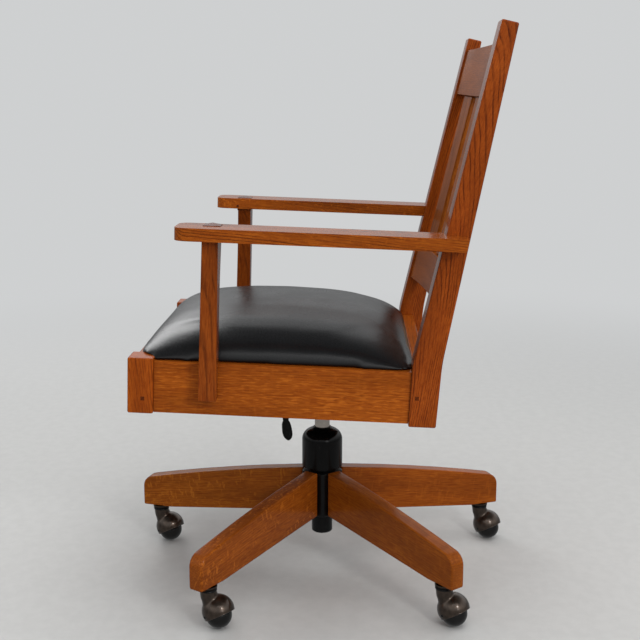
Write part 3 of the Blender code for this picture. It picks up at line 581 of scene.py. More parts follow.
def oak_board(node, body, length, face, pith, seed, tint, look, slope, tight=1.0, finish=None,
              rounding=0.0009):
    """Stands for a wooden node: the same form, its edges rounded, with its own grain."""
    shape = node_copy(node)
    made = add_object(node + "_wood", mesh_from(shape, node + "_wood"), Matrix.Identity(4),
                      finish or oak_finish())
    low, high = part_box(node)
    put_in_log(made, Vector(length), Vector(face), (low + high) / 2, pith, seed, tint, look, slope,
               tight)
    smooth(made)
    round_edges(made, rounding)
    flat_faces(made)
    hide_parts(node)
    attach(made, body)
    return made


def seat_up():
    return SEAT_TURN @ Vector((0, 0, 1))


def seat_back():
    return SEAT_TURN @ Vector((0, 1, 0))


def rake_up():
    return BACK_TURN @ Vector((0, 0, 1))


class ARMCHAIR_OT_base_arms(bpy.types.Operator):
    """Make the five oak arms of the base"""
    bl_idname = "armchair.base_arms"
    bl_label = "Base arms"

    def execute(self, context):
        tints = ((0.84, 0.92, 1), (0.92, 0.94, 1), (0.84, 0.92, 1), (0.92, 1.06, 1), (0.84, 0.88, 1))
        figures = (0.15, 0.25, 0.3, 0.7, 1.0)
        for i in range(BASE_ARMS):
            angle = BASE_TURN + 2 * math.pi * (i + 0.5) / BASE_ARMS
            out = Vector((math.cos(angle), math.sin(angle), -ARM_FALL))
            side = Vector((-math.sin(angle), math.cos(angle), 0))
            oak_board("base_arm_%d" % (i + 1), "base", out, side, (0.02 + 0.006 * i, 0.13), 11 + i,
                      tints[i], (0.28, figures[i], 0.45), 0.02 * (i - 2))
        return {"FINISHED"}


class ARMCHAIR_OT_frame(bpy.types.Operator):
    """Make the oak frame of the seat, the arms and the back"""
    bl_idname = "armchair.frame"
    bl_label = "Oak frame"

    def execute(self, context):
        up, rearward, raked = seat_up(), seat_back(), rake_up()
        sideways = Vector((1, 0, 0))
        forwards = BACK_TURN @ Vector((0, -1, 0))
        straight, flat, plain = (0.25, 0.15, 0.75), (0.95, 0.0, 0.25), (0.5, 0.3, 0.45)
        for side, word in ((1, "left"), (-1, "right")):
            out = sideways * side
            oak_board("front_post_" + word, "seat", up, out, (0.034, 0.045), 21 + side,
                      (1.16, 1.04, 1), (0.7, 0.0, 0.35), 0.09, 1.2)
            oak_board("back_post_" + word, "seat", raked, out, (0.038, 0.040), 24 + side,
                      (0.92, 0.80, 1), flat, 0.11, 1.3)
            oak_board("side_rail_" + word, "seat", rearward, out, (0.02, 0.16), 27 + side,
                      (1, 1, 1), straight, 0.01)
            oak_board("armrest_" + word, "seat", rearward, up, (0.07, 0.03), 31 + side,
                      (1, 1, 1), (0.95, 0.3, 0.4) if side > 0 else (0.6, 1.0, 0.3), 0.08, 1.2,
                      None, 0.0016)
            prop = oak_board("arm_prop_" + word, "seat", up, out, (0.06, 0.02), 34 + side,
                             (0.72, 0.66, 0.9), (0.6, 0.0, 0.25), 0.02)
            self.stain_tenon(prop, up)
        for name, seed, pith, look in (("front_rail", 41, (0.03, 0.14), straight),
                                       ("rear_rail", 42, (0.05, 0.02), plain),
                                       ("batten_front", 43, (0.05, 0.01), plain),
                                       ("batten_rear", 44, (0.06, 0.02), plain)):
            oak_board(name, "seat", sideways, rearward, pith, seed, (0.94, 0.92, 1), look, 0.02)
        satin = oak_finish("satin_oak", 0.45)
        # The back's boards below carry a darker, greyer tint. This is partly their own tone and partly
        # painted shade for the shade on their front faces.
        quartered = (0.35, 0.1, 0.35)
        oak_board("lower_rail", "seat", sideways, forwards, (0.02, 0.11), 51, (0.80, 0.84, 1),
                  quartered, 0.02, 1.3, satin)
        crest = oak_board("crest_rail", "seat", sideways, forwards, (0.02, 0.12), 52,
                          (0.76, 0.82, 1), quartered, 0.02, 1.3, satin)
        self.arch(crest, raked)
        for i in range(5):
            shade = (0.95, 1.0, 0.90, 0.98, 0.93)[i]
            oak_board("back_slat_%d" % (i + 1), "seat", raked, forwards, (0.05 + 0.01 * i, 0.02),
                      55 + i, (shade * 0.8, shade * 0.88, 1), (0.4, 0.1, 0.5), 0.02, 1, satin)
        return {"FINISHED"}

    def arch(self, rail, up):
        """The top edge of the crest rail rises a little towards its middle."""
        heights = [vertex.co.dot(up) for vertex in rail.data.vertices]
        low, high = min(heights), max(heights)
        half = (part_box("crest_rail")[1].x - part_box("crest_rail")[0].x) / 2
        for vertex, height in zip(rail.data.vertices, heights):
            share = max(0, (height - low) / (high - low) - 0.5) * 2
            across = (vertex.co.x - COLUMN.x) / half
            vertex.co += up * (CREST_ARCH * share * (1 - across ** 2))

    def stain_tenon(self, prop, up):
        """The end grain of the tenon that stands through the armrest took more stain."""
        tops = [vertex.co.dot(up) for vertex in prop.data.vertices]
        tint = prop.data.attributes["board_tint"].data
        for i, height in enumerate(tops):
            if height > max(tops) - 0.0075:
                tint[i].vector = (0.34, 0.26, 0.5)


class ARMCHAIR_OT_pegs(bpy.types.Operator):
    """Make the square pegs that lock the joints"""
    bl_idname = "armchair.pegs"
    bl_label = "Pegs"

    def execute(self, context):
        size = context.scene.armchair_wood.peg
        places = (
            (0.29950, -0.2839, 0.3903, 1, "seat_left"),
            (0.29950, 0.1597, 0.3948, 1, "back_left"),
            (-0.24050, -0.2839, 0.3903, -1, "seat_right"),
            (-0.24050, 0.1597, 0.3948, -1, "back_right"),
        )
        for x, y, z, side, word in places:
            self.peg("peg_" + word, Vector((x, y, z)), side, size)
        for side, word in ((1, "left"), (-1, "right")):
            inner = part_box("armrest_" + word)[0 if side > 0 else 1].x
            self.peg("arm_peg_" + word, Vector((inner, -0.1789, 0.6557)), -side, size * 0.8)
        return {"FINISHED"}

    def peg(self, name, place, side, size):
        """A square peg whose end stands just proud, its edges worn round."""
        mesh = block_mesh(name, (PEG_LONG, size, size), 0.0007)
        turn = SEAT_TURN.to_4x4()
        turn.translation = place + Vector((side * (PEG_PROUD - PEG_LONG / 2), 0, 0))
        made = add_object(name, mesh, turn, oak_finish())
        put_in_log(made, Vector((1, 0, 0)), Vector((0, 0, 1)), place, (0.015, 0.01), 71,
                   (0.36, 0.32, 0.5), (0.4, 0.0, 0.1))
        smooth(made)
        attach(made, "seat")


# Cushion


def neighbours(mesh):
    """For each corner of a mesh, the corners that an edge joins it to."""
    near = [[] for _ in mesh.vertices]
    for edge in mesh.edges:
        first, second = edge.vertices
        near[first].append(second)
        near[second].append(first)
    return near


def evened_out(values, near, free, rounds):
    """Brings each vector nearer to the mean of its neighbours, as far as it is free."""
    for _ in range(rounds):
        values = [value if not share else
                  value.lerp(sum((values[j] for j in around), Vector()) / len(around), share / 2)
                  for value, share, around in zip(values, free, near)]
    return values


def fading(share):
    """Falls smoothly from 1 at 0 to 0 at 1."""
    share = min(1, max(0, share))
    return 1 - share * share * (3 - 2 * share)


class ARMCHAIR_OT_cushion(bpy.types.Operator):
    """Make the seat board and the leather cushion, swollen by its filling"""
    bl_idname = "armchair.cushion"
    bl_label = "Cushion"

    def execute(self, context):
        seat = context.scene.armchair_seat
        shape = node_copy("cushion", clean=False)
        made = add_object("seat_cushion", mesh_from(shape, "seat_cushion"), Matrix.Identity(4),
                          leather_finish())
        remesh = made.modifiers.new("even_mesh", "REMESH")
        remesh.mode = "VOXEL"
        remesh.voxel_size = COVER_MESH
        apply_modifiers(made)
        self.relax(made, seat)
        self.swell(context, made, seat)
        finer = made.modifiers.new("finer", "SUBSURF")
        finer.levels = finer.render_levels = 1
        apply_modifiers(made)
        made.data.shade_smooth()
        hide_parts("cushion")
        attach(made, "seat")
        board = add_object("seat_board_ply", mesh_from(node_copy("seat_board"), "seat_board_ply"),
                           Matrix.Identity(4), plywood_finish())
        smooth(board)
        round_edges(board, 0.0006, 1)
        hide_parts("seat_board")
        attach(board, "seat")
        return {"FINISHED"}

    def relax(self, made, seat):
        """Takes unevenness out of the cover and lets its front hang over the frame.

        What the smoothing takes from the whole form is given back, so only the
        unevenness goes.
        """
        up, rearward = seat_up(), seat_back()
        mesh = made.data
        near = neighbours(mesh)
        rest = [vertex.co.copy() for vertex in mesh.vertices]
        heights = [point.dot(up) for point in rest]
        foot = min(heights)
        free = [min(1, max(0, (height - foot - 0.002) / 0.010)) for height in heights]
        evened = evened_out(rest, near, free, 60)
        lost = evened_out([start - point for start, point in zip(rest, evened)], near, free, 30)
        front = min(point.dot(rearward) for point in rest)
        for vertex, point, back, height in zip(mesh.vertices, evened, lost, heights):
            low = min(1, max(0, (height - foot - 0.003) / 0.006))
            share = low * fading((height - foot) / 0.075) * fading((point.dot(rearward) - front) / 0.09)
            vertex.co = point + back - rearward * (seat.overhang * share)

    def swell(self, context, made, seat):
        """Lets the cover swell while its underside stays on the frame.

        The leather is tight, so its folds are evened out and it rises less than it
        bulges sideways.
        """
        up = seat_up()
        mesh = made.data
        rest = [vertex.co.copy() for vertex in mesh.vertices]
        heights = [point.dot(up) for point in rest]
        foot = min(heights) + 0.004
        held = made.vertex_groups.new(name="held")
        held.add([i for i, height in enumerate(heights) if height < foot], 1.0, "REPLACE")
        cloth = made.modifiers.new("filling", "CLOTH")
        settings = cloth.settings
        settings.quality = 5
        settings.mass = 0.4
        settings.tension_stiffness = 18
        settings.compression_stiffness = 18
        settings.bending_stiffness = 1.0
        settings.vertex_group_mass = "held"
        settings.use_pressure = True
        settings.uniform_pressure_force = seat.pressure
        settings.effector_weights.gravity = 0
        cloth.collision_settings.use_collision = False
        cloth.point_cache.frame_start = 1
        cloth.point_cache.frame_end = SWELL_FRAMES
        for number in range(1, SWELL_FRAMES + 1):
            context.scene.frame_set(number)
        apply_modifiers(made)
        context.scene.frame_set(1)
        mesh = made.data
        free = [float(height > foot) for height in heights]
        moves = evened_out([vertex.co - start for vertex, start in zip(mesh.vertices, rest)],
                           neighbours(mesh), free, 70)
        for vertex, start, move in zip(mesh.vertices, rest, moves):
            rise = move.dot(up)
            aside = move - up * rise
            bulge = math.tanh(aside.length / seat.swell) * seat.swell
            lift = math.tanh(rise / seat.rise) * seat.rise
            vertex.co = start + aside.normalized() * bulge + up * lift
        made.vertex_groups.clear()


# Casters


def hood_mesh():
    """The hood with its neck and stem in the caster's frame, a thin shell open on one side."""
    turn = HOOD_POLE.to_track_quat("Z", "Y").to_matrix().to_4x4()
    turn.translation = Vector((0, TRAIL, HOOD_MID))
    shape = bmesh.new()
    bmesh.ops.create_uvsphere(shape, u_segments=64, v_segments=40, radius=HOOD_R, matrix=turn)
    outer = add_object("hood_form", mesh_from(shape, "hood_form"))
    rise = NECK_TOP - 0.008 - HOOD_MID
    lean = Matrix.Rotation(math.atan2(TRAIL * 0.55, rise), 4, "X")
    lean.translation = Vector((0, TRAIL * 0.55, HOOD_MID))
    lean = lean @ Matrix.Translation((0, 0, rise / 2))
    shape = bmesh.new()
    bmesh.ops.create_cone(shape, cap_ends=True, segments=48, radius1=WEB_R,
                          radius2=NECK_R - 0.001, depth=rise, matrix=lean)
    bmesh.ops.create_cone(shape, cap_ends=True, segments=48, radius1=NECK_R - 0.0024,
                          radius2=NECK_R - 0.0006, depth=0.016,
                          matrix=Matrix.Translation((0, 0, NECK_TOP - 0.012)))
    web = add_object("web_form", mesh_from(shape, "web_form"))
    join = outer.modifiers.new("join", "BOOLEAN")
    join.operation = "UNION"
    join.object = web
    join.use_self = True
    remesh = outer.modifiers.new("even_mesh", "REMESH")
    remesh.mode = "VOXEL"
    remesh.voxel_size = 0.0009
    relax = outer.modifiers.new("relax", "SMOOTH")
    relax.factor = 0.5
    relax.iterations = 36
    apply_modifiers(outer)
    bpy.data.objects.remove(web)
    shape = bmesh.new()
    bmesh.ops.create_uvsphere(shape, u_segments=64, v_segments=40, radius=HOOD_R - HOOD_WALL,
                              matrix=turn)
    hollow = add_object("hollow_form", mesh_from(shape, "hollow_form"))
    opening = turn @ Matrix.Translation((0, 0, -HOOD_CUT - 0.03))
    shape = bmesh.new()
    bmesh.ops.create_cube(shape, size=1, matrix=opening @ Matrix.Diagonal((0.1, 0.1, 0.06, 1)))
    cutter = add_object("opening_form", mesh_from(shape, "opening_form"))
    for tool in (hollow, cutter):
        cut_away(outer, tool)
    apply_modifiers(outer)
    mesh = outer.data
    for leftover in (outer, hollow, cutter):
        bpy.data.objects.remove(leftover)
    mesh.name = "caster_hood_shell"
    return mesh


def rim_mesh():
    """A rolled lip that runs round the hood's opening."""
    radius = math.sqrt(HOOD_R ** 2 - HOOD_CUT ** 2) - 0.0008
    turn = HOOD_POLE.to_track_quat("Z", "Y").to_matrix().to_4x4()
    turn.translation = Vector((0, TRAIL, HOOD_MID)) - HOOD_POLE * HOOD_CUT
    mesh = turned_mesh("hood_lip", arc((radius, 0.0002), 0.0010, 0, 330, 11), 72)
    mesh.transform(turn)
    return mesh


def ball_mesh(radius):
    """The ball, two halves with a fine seam between them, bored for its axle."""
    seam = 0.0006
    profile = [(0.0046, math.sqrt(radius ** 2 - 0.0046 ** 2))]
    for i in range(1, 20):
        angle = math.radians(12 + i * 78 / 20)
        profile.append((radius * math.sin(angle), radius * math.cos(angle)))
    profile += [(radius, seam), (radius - 0.0007, 0), (radius, -seam)]
    for i in range(19, 0, -1):
        angle = math.radians(12 + i * 78 / 20)
        profile.append((radius * math.sin(angle), -radius * math.cos(angle)))
    profile.append((0, -radius))
    profile.insert(0, (0.0040, radius * 0.9))
    profile.insert(0, (0, radius * 0.9))
    return turned_mesh("caster_ball_form", profile, 56)


def dressed(node, name, body, finish, rounding=0.0, angle=60, sharp=40):
    """Stands for a node with the same form, smooth shaded and with its edges rounded."""
    made = add_object(name, mesh_from(node_copy(node), name), Matrix.Identity(4), finish)
    smooth(made, sharp)
    if rounding:
        round_edges(made, rounding, 2, angle)
    flat_faces(made)
    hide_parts(node)
    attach(made, body)
    return made


class ARMCHAIR_OT_casters(bpy.types.Operator):
    """Make the five ball casters with their hoods"""
    bl_idname = "armchair.casters"
    bl_label = "Casters"

    def execute(self, context):
        hood, lip = hood_mesh(), rim_mesh()
        hood.materials.append(bronze_finish())
        lip.materials.append(bronze_finish())
        ribs = [(0.0062, 0.0745), (0.0062, 0.0742), (0.0158, 0.0742), (0.0158, 0.0728),
                (0.0150, 0.0722), (0.0158, 0.0716), (0.0158, 0.0713), (0.0062, 0.0713)]
        socket = turned_mesh("socket_flange", ribs, 48)
        collar = turned_mesh("neck_rings", [
            (0.0060, 0.0706), (0.0148, 0.0706), (0.0153, 0.0702), (0.0153, 0.0690), (0.0137, 0.0682),
            (0.0150, 0.0674), (0.0152, 0.0664), (0.0150, 0.0655), (0.0134, 0.0648), (0.0060, 0.0646)], 48)
        stem = turned_mesh("stem", [(0, STEM_HIGH), (0.0050, STEM_HIGH), (0.0055, STEM_HIGH - 0.0008),
                                    (0.0055, 0.0650), (0, 0.0650)], 32)
        rivet_place = Vector((0.64, -0.745, -0.20)).normalized()
        rivet = turned_mesh("hood_rivet", [(0, 0.0013), (0.0012, 0.0011), (0.0021, 0.0005),
                                           (0.0024, -0.0004), (0.0024, -0.0012), (0, -0.0012)], 24)
        rivet_turn = rivet_place.to_track_quat("Z", "Y").to_matrix().to_4x4()
        rivet_turn.translation = Vector((0, TRAIL, HOOD_MID)) + rivet_place * HOOD_R
        rivet.transform(rivet_turn)
        for mesh, finish in ((socket, bronze_finish()), (collar, black_steel_finish()),
                             (stem, bright_finish()), (rivet, black_steel_finish())):
            mesh.materials.append(finish)
        radius = (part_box("caster_ball_1")[1].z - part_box("caster_ball_1")[0].z) / 2
        ball = ball_mesh(radius)
        axle = Vector(JOINTS["caster_1_roll"]["axis"])
        ball.transform(axle.to_track_quat("Z", "Y").to_matrix().to_4x4())
        ball.materials.append(rubber_finish())
        for i in range(1, BASE_ARMS + 1):
            stem_place = Vector(JOINTS["caster_%d_swivel" % i]["pos_m"])
            stand = Matrix.Translation((stem_place.x, stem_place.y, 0))
            self.caster(i, stand, hood, lip, socket, collar, stem, rivet, ball)
        return {"FINISHED"}

    def caster(self, i, stand, hood, lip, socket, collar, stem, rivet, ball):
        shell = add_object("hood_shell_%d" % i, hood, stand)
        smooth(shell, 40)
        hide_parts("caster_hood_%d" % i)
        parts = [(shell, "bronze")]
        for mesh, name, slot_name in ((lip, "hood_lip", "bronze"), (collar, "neck_rings", "bronze"),
                                      (stem, "stem", "bright_steel"), (rivet, "rivet", "bronze")):
            made = add_object("%s_%d" % (name, i), mesh, stand)
            smooth(made, 50)
            parts.append((made, slot_name))
        for made, slot_name in parts:
            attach(made, "caster_%d" % i)
        flange = add_object("flange_%d" % i, socket, stand)
        smooth(flange, 35)
        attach(flange, "base")
        dressed("caster_socket_%d" % i, "socket_sleeve_%d" % i, "base", bronze_finish())
        dressed("caster_axle_%d" % i, "axle_%d" % i, "caster_%d" % i, bright_finish())
        wheel = add_object("ball_%d_rolling" % i, ball,
                           Matrix.Translation(JOINTS["caster_%d_roll" % i]["pos_m"]))
        smooth(wheel, 35)
        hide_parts("caster_ball_%d" % i)
        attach(wheel, "ball_%d" % i)


# Column and mechanism


class ARMCHAIR_OT_column(bpy.types.Operator):
    """Make the hub, the gas lift and its cover"""
    bl_idname = "armchair.column"
    bl_label = "Column"

    def execute(self, context):
        stand = Matrix.Translation((COLUMN.x, COLUMN.y, 0))
        shoulder = arc((0.0168, 0.2410), 0.0210, 80, 0, 14)
        wall, skirt, low = 0.0019, 0.0378, 0.1895
        outer = [(0.0146, 0.2645), (0.0152, 0.2653), (0.0168, 0.2653), (0.0175, 0.2647)]
        outer += [(0.0183, 0.2628)] + shoulder
        outer += [(skirt, 0.1925), (skirt, 0.1903), (skirt - 0.0006, low)]
        inner = [(skirt - wall, low)]
        inner += [(r - wall, z - wall) for r, z in reversed(shoulder)] + [(0.0146, 0.2620)]
        bell = add_object("bell_form", turned_mesh("bell_form", outer + inner, 72), stand,
                          black_plastic_finish())
        smooth(bell, 40)
        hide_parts("bell_cover")
        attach(bell, "base")
        rod = add_object("piston", turned_mesh("piston", [
            (0, 0.3320), (0.0108, 0.3320), (0.0115, 0.3313), (0.0125, 0.3012), (ROD_R, 0.2990),
            (ROD_R, 0.1008), (0.0132, 0.1000), (0, 0.1000)], 56), stand, bright_finish())
        smooth(rod, 30)
        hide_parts("lift_rod")
        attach(rod, "lift")
        wiper = add_object("rod_wiper", turned_mesh("rod_wiper", [
            (0.01445, 0.2655), (0.0149, 0.2660), (0.0156, 0.2660), (0.0160, 0.2655),
            (0.0160, 0.2653), (0.01445, 0.2653)], 48), stand, rubber_finish())
        smooth(wiper, 40)
        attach(wiper, "base")
        dressed("hub", "hub_steel", "base", black_steel_finish(), 0.0012, 50)
        dressed("gas_cylinder", "cylinder_tube", "base", black_steel_finish())
        dressed("column_foot", "cylinder_foot", "base", black_steel_finish(), 0.0006)
        return {"FINISHED"}


def paddle_mesh():
    """The lever's leaf shaped paddle, ribbed for the finger, hanging from its rod."""
    stations = ((-0.0062, 0, 0), (-0.0059, 0.0030, 0.0030), (-0.0045, 0.0050, 0.0047),
                (0.0000, 0.0053, 0.0051), (0.0034, 0.0050, 0.0047), (0.0067, 0.0066, 0.0046),
                (0.0100, 0.0076, 0.0045), (0.0135, 0.0081, 0.0044), (0.0170, 0.0085, 0.0044),
                (0.0200, 0.0087, 0.0043), (0.0236, 0.0088, 0.0042), (0.0270, 0.0086, 0.0040),
                (0.0303, 0.0080, 0.0037), (0.0337, 0.0067, 0.0032), (0.0365, 0.0046, 0.0025),
                (0.0384, 0.0022, 0.0015), (0.0391, 0, 0))
    steps, ribs = 64, 5
    shape = bmesh.new()
    rings = []
    for drop, wide, thick in stations:
        shift = 0.0047 * min(1, max(0, drop / 0.039))
        if not wide:
            rings.append([shape.verts.new((0, shift, -drop))])
            continue
        ribbed = min(1, max(0, (drop - 0.007) / 0.004)) * min(1, max(0, (0.036 - drop) / 0.004))
        ring = []
        for i in range(steps):
            angle = 2 * math.pi * i / steps
            across, through = math.cos(angle), math.sin(angle)
            groove = 0.5 + 0.5 * math.cos(math.pi * ribs * across)
            through *= 1 - 0.16 * ribbed * groove * abs(through)
            ring.append(shape.verts.new((thick * through, shift + wide * across, -drop)))
        rings.append(ring)
    join_rings(shape, zip(rings, rings[1:]), steps)
    return mesh_from(shape, "lever_paddle")


def screw_mesh(radius):
    """A pan head screw's head with a cross recess, its seat at z = 0, facing +Z."""
    mesh = turned_mesh("screw_head", [
        (0, -0.0020), (radius * 0.45, -0.0020), (radius * 0.45, 0), (radius, 0), (radius, radius * 0.25),
        (radius * 0.86, radius * 0.44), (radius * 0.55, radius * 0.54), (0, radius * 0.58)], 28)
    head = add_object("screw_form", mesh)
    for turn in (0, math.pi / 2):
        size = (radius * 1.1, radius * 0.22, radius * 0.6)
        slot = add_object("screw_slot", block_mesh("screw_slot", size),
                          Matrix.Translation((0, 0, radius * 0.58)) @ Matrix.Rotation(turn, 4, "Z"))
        cut_away(head, slot)
        apply_modifiers(head)
        bpy.data.objects.remove(slot)
    mesh = head.data
    bpy.data.objects.remove(head)
    mesh.name = "screw_head"
    return mesh


class ARMCHAIR_OT_mechanism(bpy.types.Operator):
    """Make the tilt housing, its pin, spring, knob and lever"""
    bl_idname = "armchair.mechanism"
    bl_label = "Mechanism"

    def execute(self, context):
        steel = black_steel_finish()
        dressed("tilt_housing", "housing_steel", "mechanism", steel, 0.0010)
        dressed("tilt_pin", "pin_steel", "mechanism", bright_finish(), 0.0006)
        dressed("tilt_spring", "spring_steel", "mechanism", steel, 0, 60, 70)
        dressed("tilt_plate", "plate_steel", "seat", steel, 0.0008)
        dressed("tension_knob", "knob_form", "knob", black_plastic_finish(), 0.0006)
        self.lever(context)
        self.screws()
        return {"FINISHED"}

    def lever(self, context):
        """The lever's steel rod with its paddle at the end."""
        low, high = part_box("lift_lever")
        middle, height, end = (low.y + high.y) / 2, high.z - 0.006, high.x - 0.005
        sideways = Matrix.Rotation(math.pi / 2, 4, "Y")
        sideways.translation = Vector((low.x, middle, height))
        length = end - low.x
        rod = add_object("lever_rod", turned_mesh("lever_rod", [
            (0, length), (0.0030, length), (0.0030, length - 0.001), (0.0038, length - 0.0055),
            (0.0038, 0.0008), (0.0030, 0), (0, 0)], 32), sideways, black_steel_finish())
        smooth(rod, 40)
        paddle = add_object("lever_paddle", paddle_mesh(), Matrix.Translation((end, middle, height)),
                            black_plastic_finish())
        smooth(paddle, 60)
        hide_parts("lift_lever")
        for made in (rod, paddle):
            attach(made, "lever")

    def screws(self):
        """Eight screws hold the plate under the battens."""
        head = screw_mesh(0.0048)
        head.materials.append(black_steel_finish())
        plate = frame["nodes"]["tilt_plate"]
        up = seat_up()
        under = min(vertex.co.dot(up) for vertex in plate.data.vertices
                    if abs(vertex.co.x - COLUMN.x) > 0.09)
        turn = (SEAT_TURN @ Matrix.Rotation(math.pi, 3, "X")).to_4x4()
        number = 0
        for along in PLATE_SCREWS:
            for side in (-1, 1):
                number += 1
                place = Vector((COLUMN.x + side * PLATE_SCREW_OUT, along, 0))
                place += up * (under - place.dot(up))
                made = add_object("plate_screw_%d" % number, head, Matrix.Translation(place) @ turn)
                smooth(made, 35)
                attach(made, "seat")


# Stage


class ARMCHAIR_OT_stage(bpy.types.Operator):
    """Make the floor, the lamps, the world and the camera"""
    bl_idname = "armchair.stage"
    bl_label = "Stage"

    def execute(self, context):
        scene = context.scene
        scene.view_settings.view_transform = "Standard"
        self.floor(scene.armchair_stage)
        self.world(scene, scene.armchair_stage)
        self.lamp("key", (2.05, 1.20, 1.45), (0.03, 0, 0.4), 0.34, 12)
        self.lamp("window", (2.6, 1.5, 0.95), (0.03, 0, 0.5), 0.8, 4)
        self.lamp("upper_window", (1.85, 0.55, 1.95), (0.03, 0, 0.5), 1.9, 4.5, 0.35)
        self.lamp("ceiling", (0.3, 0.4, 3.0), (0.03, 0, 0.4), 2.4, 34).visible_glossy = False
        self.lamp("far_side", (-2.2, -1.4, 1.9), (0.03, 0, 0.4), 1.4, 16)
        self.camera(scene)
        return {"FINISHED"}

    def floor(self, stage):
        shape = bmesh.new()
        bmesh.ops.create_circle(shape, cap_ends=True, segments=96, radius=14)
        floor = add_object("floor", mesh_from(shape, "floor"))
        made, tree, shader = new_material("floor")
        place = place_of(tree)
        length = tree.nodes.new("ShaderNodeVectorMath")
        length.operation = "LENGTH"
        tree.links.new(place, length.inputs[0])
        speck = noise_at(tree, place, 40.0, 3.0, 0.6)
        tone = blended(tree, spread(tree, speck, 0.3, 0.7), toned(stage.floor, 0.97),
                       toned(stage.floor, 1.02))
        feed_all(tree, shader, {"Base Color": tone, "Roughness": 0.6, "Specular IOR Level": 0.25})
        glow = tree.nodes.new("ShaderNodeEmission")
        rays = tree.nodes.new("ShaderNodeLightPath")
        shown = blended(tree, rays.outputs["Is Glossy Ray"], stage.background,
                        toned(stage.background, 0.40))
        tree.links.new(shown, glow.inputs["Color"])
        seen = maths(tree, "MAXIMUM", rays.outputs["Is Camera Ray"], rays.outputs["Is Glossy Ray"])
        far = times(tree, spread(tree, length.outputs["Value"], 0.7, 3.2), seen)
        far = maths(tree, "MAXIMUM", far, times(tree, rays.outputs["Is Glossy Ray"], 0.8))
        mix = tree.nodes.new("ShaderNodeMixShader")
        feed(tree, mix.inputs[0], far)
        tree.links.new(shader.outputs[0], mix.inputs[1])
        tree.links.new(glow.outputs[0], mix.inputs[2])
        output = next(n for n in tree.nodes if n.type == "OUTPUT_MATERIAL")
        tree.links.new(mix.outputs[0], output.inputs["Surface"])
        floor.data.materials.append(made)

    def world(self, scene, stage):
        world = bpy.data.worlds.new("studio")
        scene.world = world
        world.use_nodes = True
        tree = world.node_tree
        back = tree.nodes["Background"]
        rays = tree.nodes.new("ShaderNodeLightPath")
        seen = maths(tree, "MAXIMUM", rays.outputs["Is Camera Ray"],
                     maths(tree, "MAXIMUM", rays.outputs["Is Glossy Ray"],
                           rays.outputs["Is Transmission Ray"]))
        glossy = rays.outputs["Is Glossy Ray"]
        shown = blended(tree, glossy, stage.background, self.studio_in_gloss(tree, stage))
        feed(tree, back.inputs["Color"], blended(tree, seen, (0.96, 0.98, 1.0), shown))
        feed(tree, back.inputs["Strength"], plus(tree, stage.fill, times(tree, seen, 1 - stage.fill)))

    def studio_in_gloss(self, tree, stage):
        """Gloss shows pale walls over a darker floor line, under a darker ceiling."""
        place = tree.nodes.new("ShaderNodeTexCoord")
        height = parts_of(tree, place.outputs["Generated"])[2]
        shade = stage.background
        tone = blended(tree, spread(tree, height, -0.02, 0.24), toned(shade, 0.34), toned(shade, 1.05))
        tone = blended(tree, spread(tree, height, 0.16, 0.42), tone, toned(shade, 1.7, 2))
        return blended(tree, spread(tree, height, 0.50, 0.90), tone, toned(shade, 0.22))

    def lamp(self, name, place, target, size, power, high=None):
        """A round lamp, or one that is size wide and high tall."""
        light = bpy.data.lights.new(name, "AREA")
        light.shape = "RECTANGLE" if high else "DISK"
        light.size = size
        if high:
            light.size_y = high
        light.energy = power
        lamp = bpy.data.objects.new(name, light)
        bpy.context.scene.collection.objects.link(lamp)
        lamp.location = place
        lamp.rotation_euler = (Vector(target) - Vector(place)).to_track_quat("-Z", "Y").to_euler()
        return lamp

    def camera(self, scene):
        """The photograph's place and angle, for a square picture of 640 pixels."""
        down, turn = CAMERA_DOWN, CAMERA_TURN
        ahead = Vector((-math.cos(down) * math.cos(turn), -math.cos(down) * math.sin(turn),
                        -math.sin(down)))
        right = Vector((-math.sin(turn), math.cos(turn), 0))
        data = bpy.data.cameras.new("photo_camera")
        camera = bpy.data.objects.new("photo_camera", data)
        scene.collection.objects.link(camera)
        matrix = Matrix((right, right.cross(ahead), -ahead)).transposed().to_4x4()
        matrix.translation = CAMERA_PLACE + Vector((COLUMN.x, 0, 0))
        camera.matrix_world = matrix
        data.sensor_width = 36
        data.lens = FOCAL / PICTURE * data.sensor_width
        data.shift_x = (PICTURE / 2 - AIM_PIXEL[0]) / PICTURE
        data.shift_y = (AIM_PIXEL[1] - PICTURE / 2) / PICTURE
        scene.camera = camera


OPERATORS = (ARMCHAIR_OT_base_arms, ARMCHAIR_OT_frame, ARMCHAIR_OT_pegs, ARMCHAIR_OT_cushion,
             ARMCHAIR_OT_casters, ARMCHAIR_OT_column, ARMCHAIR_OT_mechanism, ARMCHAIR_OT_stage)
SETTINGS = (("armchair_wood", ArmchairWood), ("armchair_seat", ArmchairSeat),
            ("armchair_metal", ArmchairMetal), ("armchair_stage", ArmchairStage))


class ARMCHAIR_PT_panel(bpy.types.Panel):
    """Lists the steps and their settings"""
    bl_idname = "ARMCHAIR_PT_panel"
    bl_label = "Oak swivel armchair"
    bl_space_type = "VIEW_3D"
    bl_region_type = "UI"
    bl_category = "Armchair"

    def draw(self, context):
        for name, group in SETTINGS:
            box = self.layout.box()
            settings = getattr(context.scene, name)
            for key in group.__annotations__:
                box.prop(settings, key)
        for operator in OPERATORS:
            self.layout.operator(operator.bl_idname)


def register():
    for name, group in SETTINGS:
        bpy.utils.register_class(group)
        setattr(bpy.types.Scene, name, PointerProperty(type=group))
    for piece in (*OPERATORS, ARMCHAIR_PT_panel):
        bpy.utils.register_class(piece)


def unregister():
    for piece in (ARMCHAIR_PT_panel, *reversed(OPERATORS)):
        bpy.utils.unregister_class(piece)
    for name, group in reversed(SETTINGS):
        delattr(bpy.types.Scene, name)
        bpy.utils.unregister_class(group)


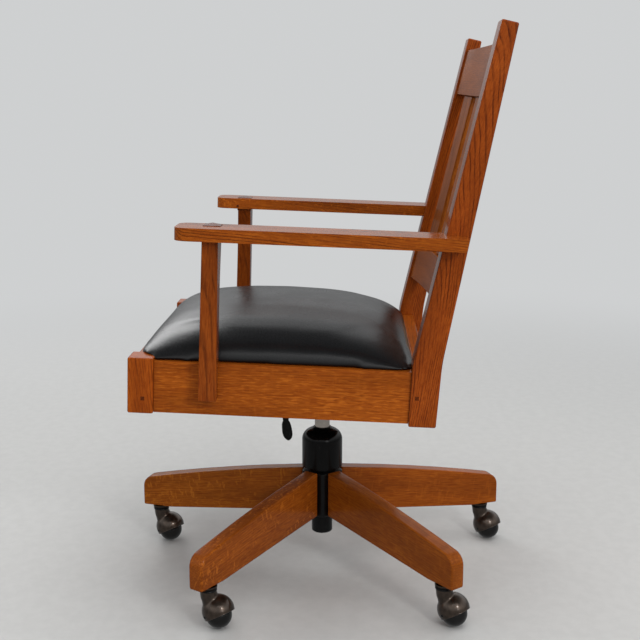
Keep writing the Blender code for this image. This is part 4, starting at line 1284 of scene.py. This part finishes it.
def main():
    register()
    bpy.ops.armchair.base_arms()
    bpy.ops.armchair.frame()
    bpy.ops.armchair.pegs()
    bpy.ops.armchair.cushion()
    bpy.ops.armchair.casters()
    bpy.ops.armchair.column()
    bpy.ops.armchair.mechanism()
    bpy.ops.armchair.stage()


if __name__ == "__main__":
    main()
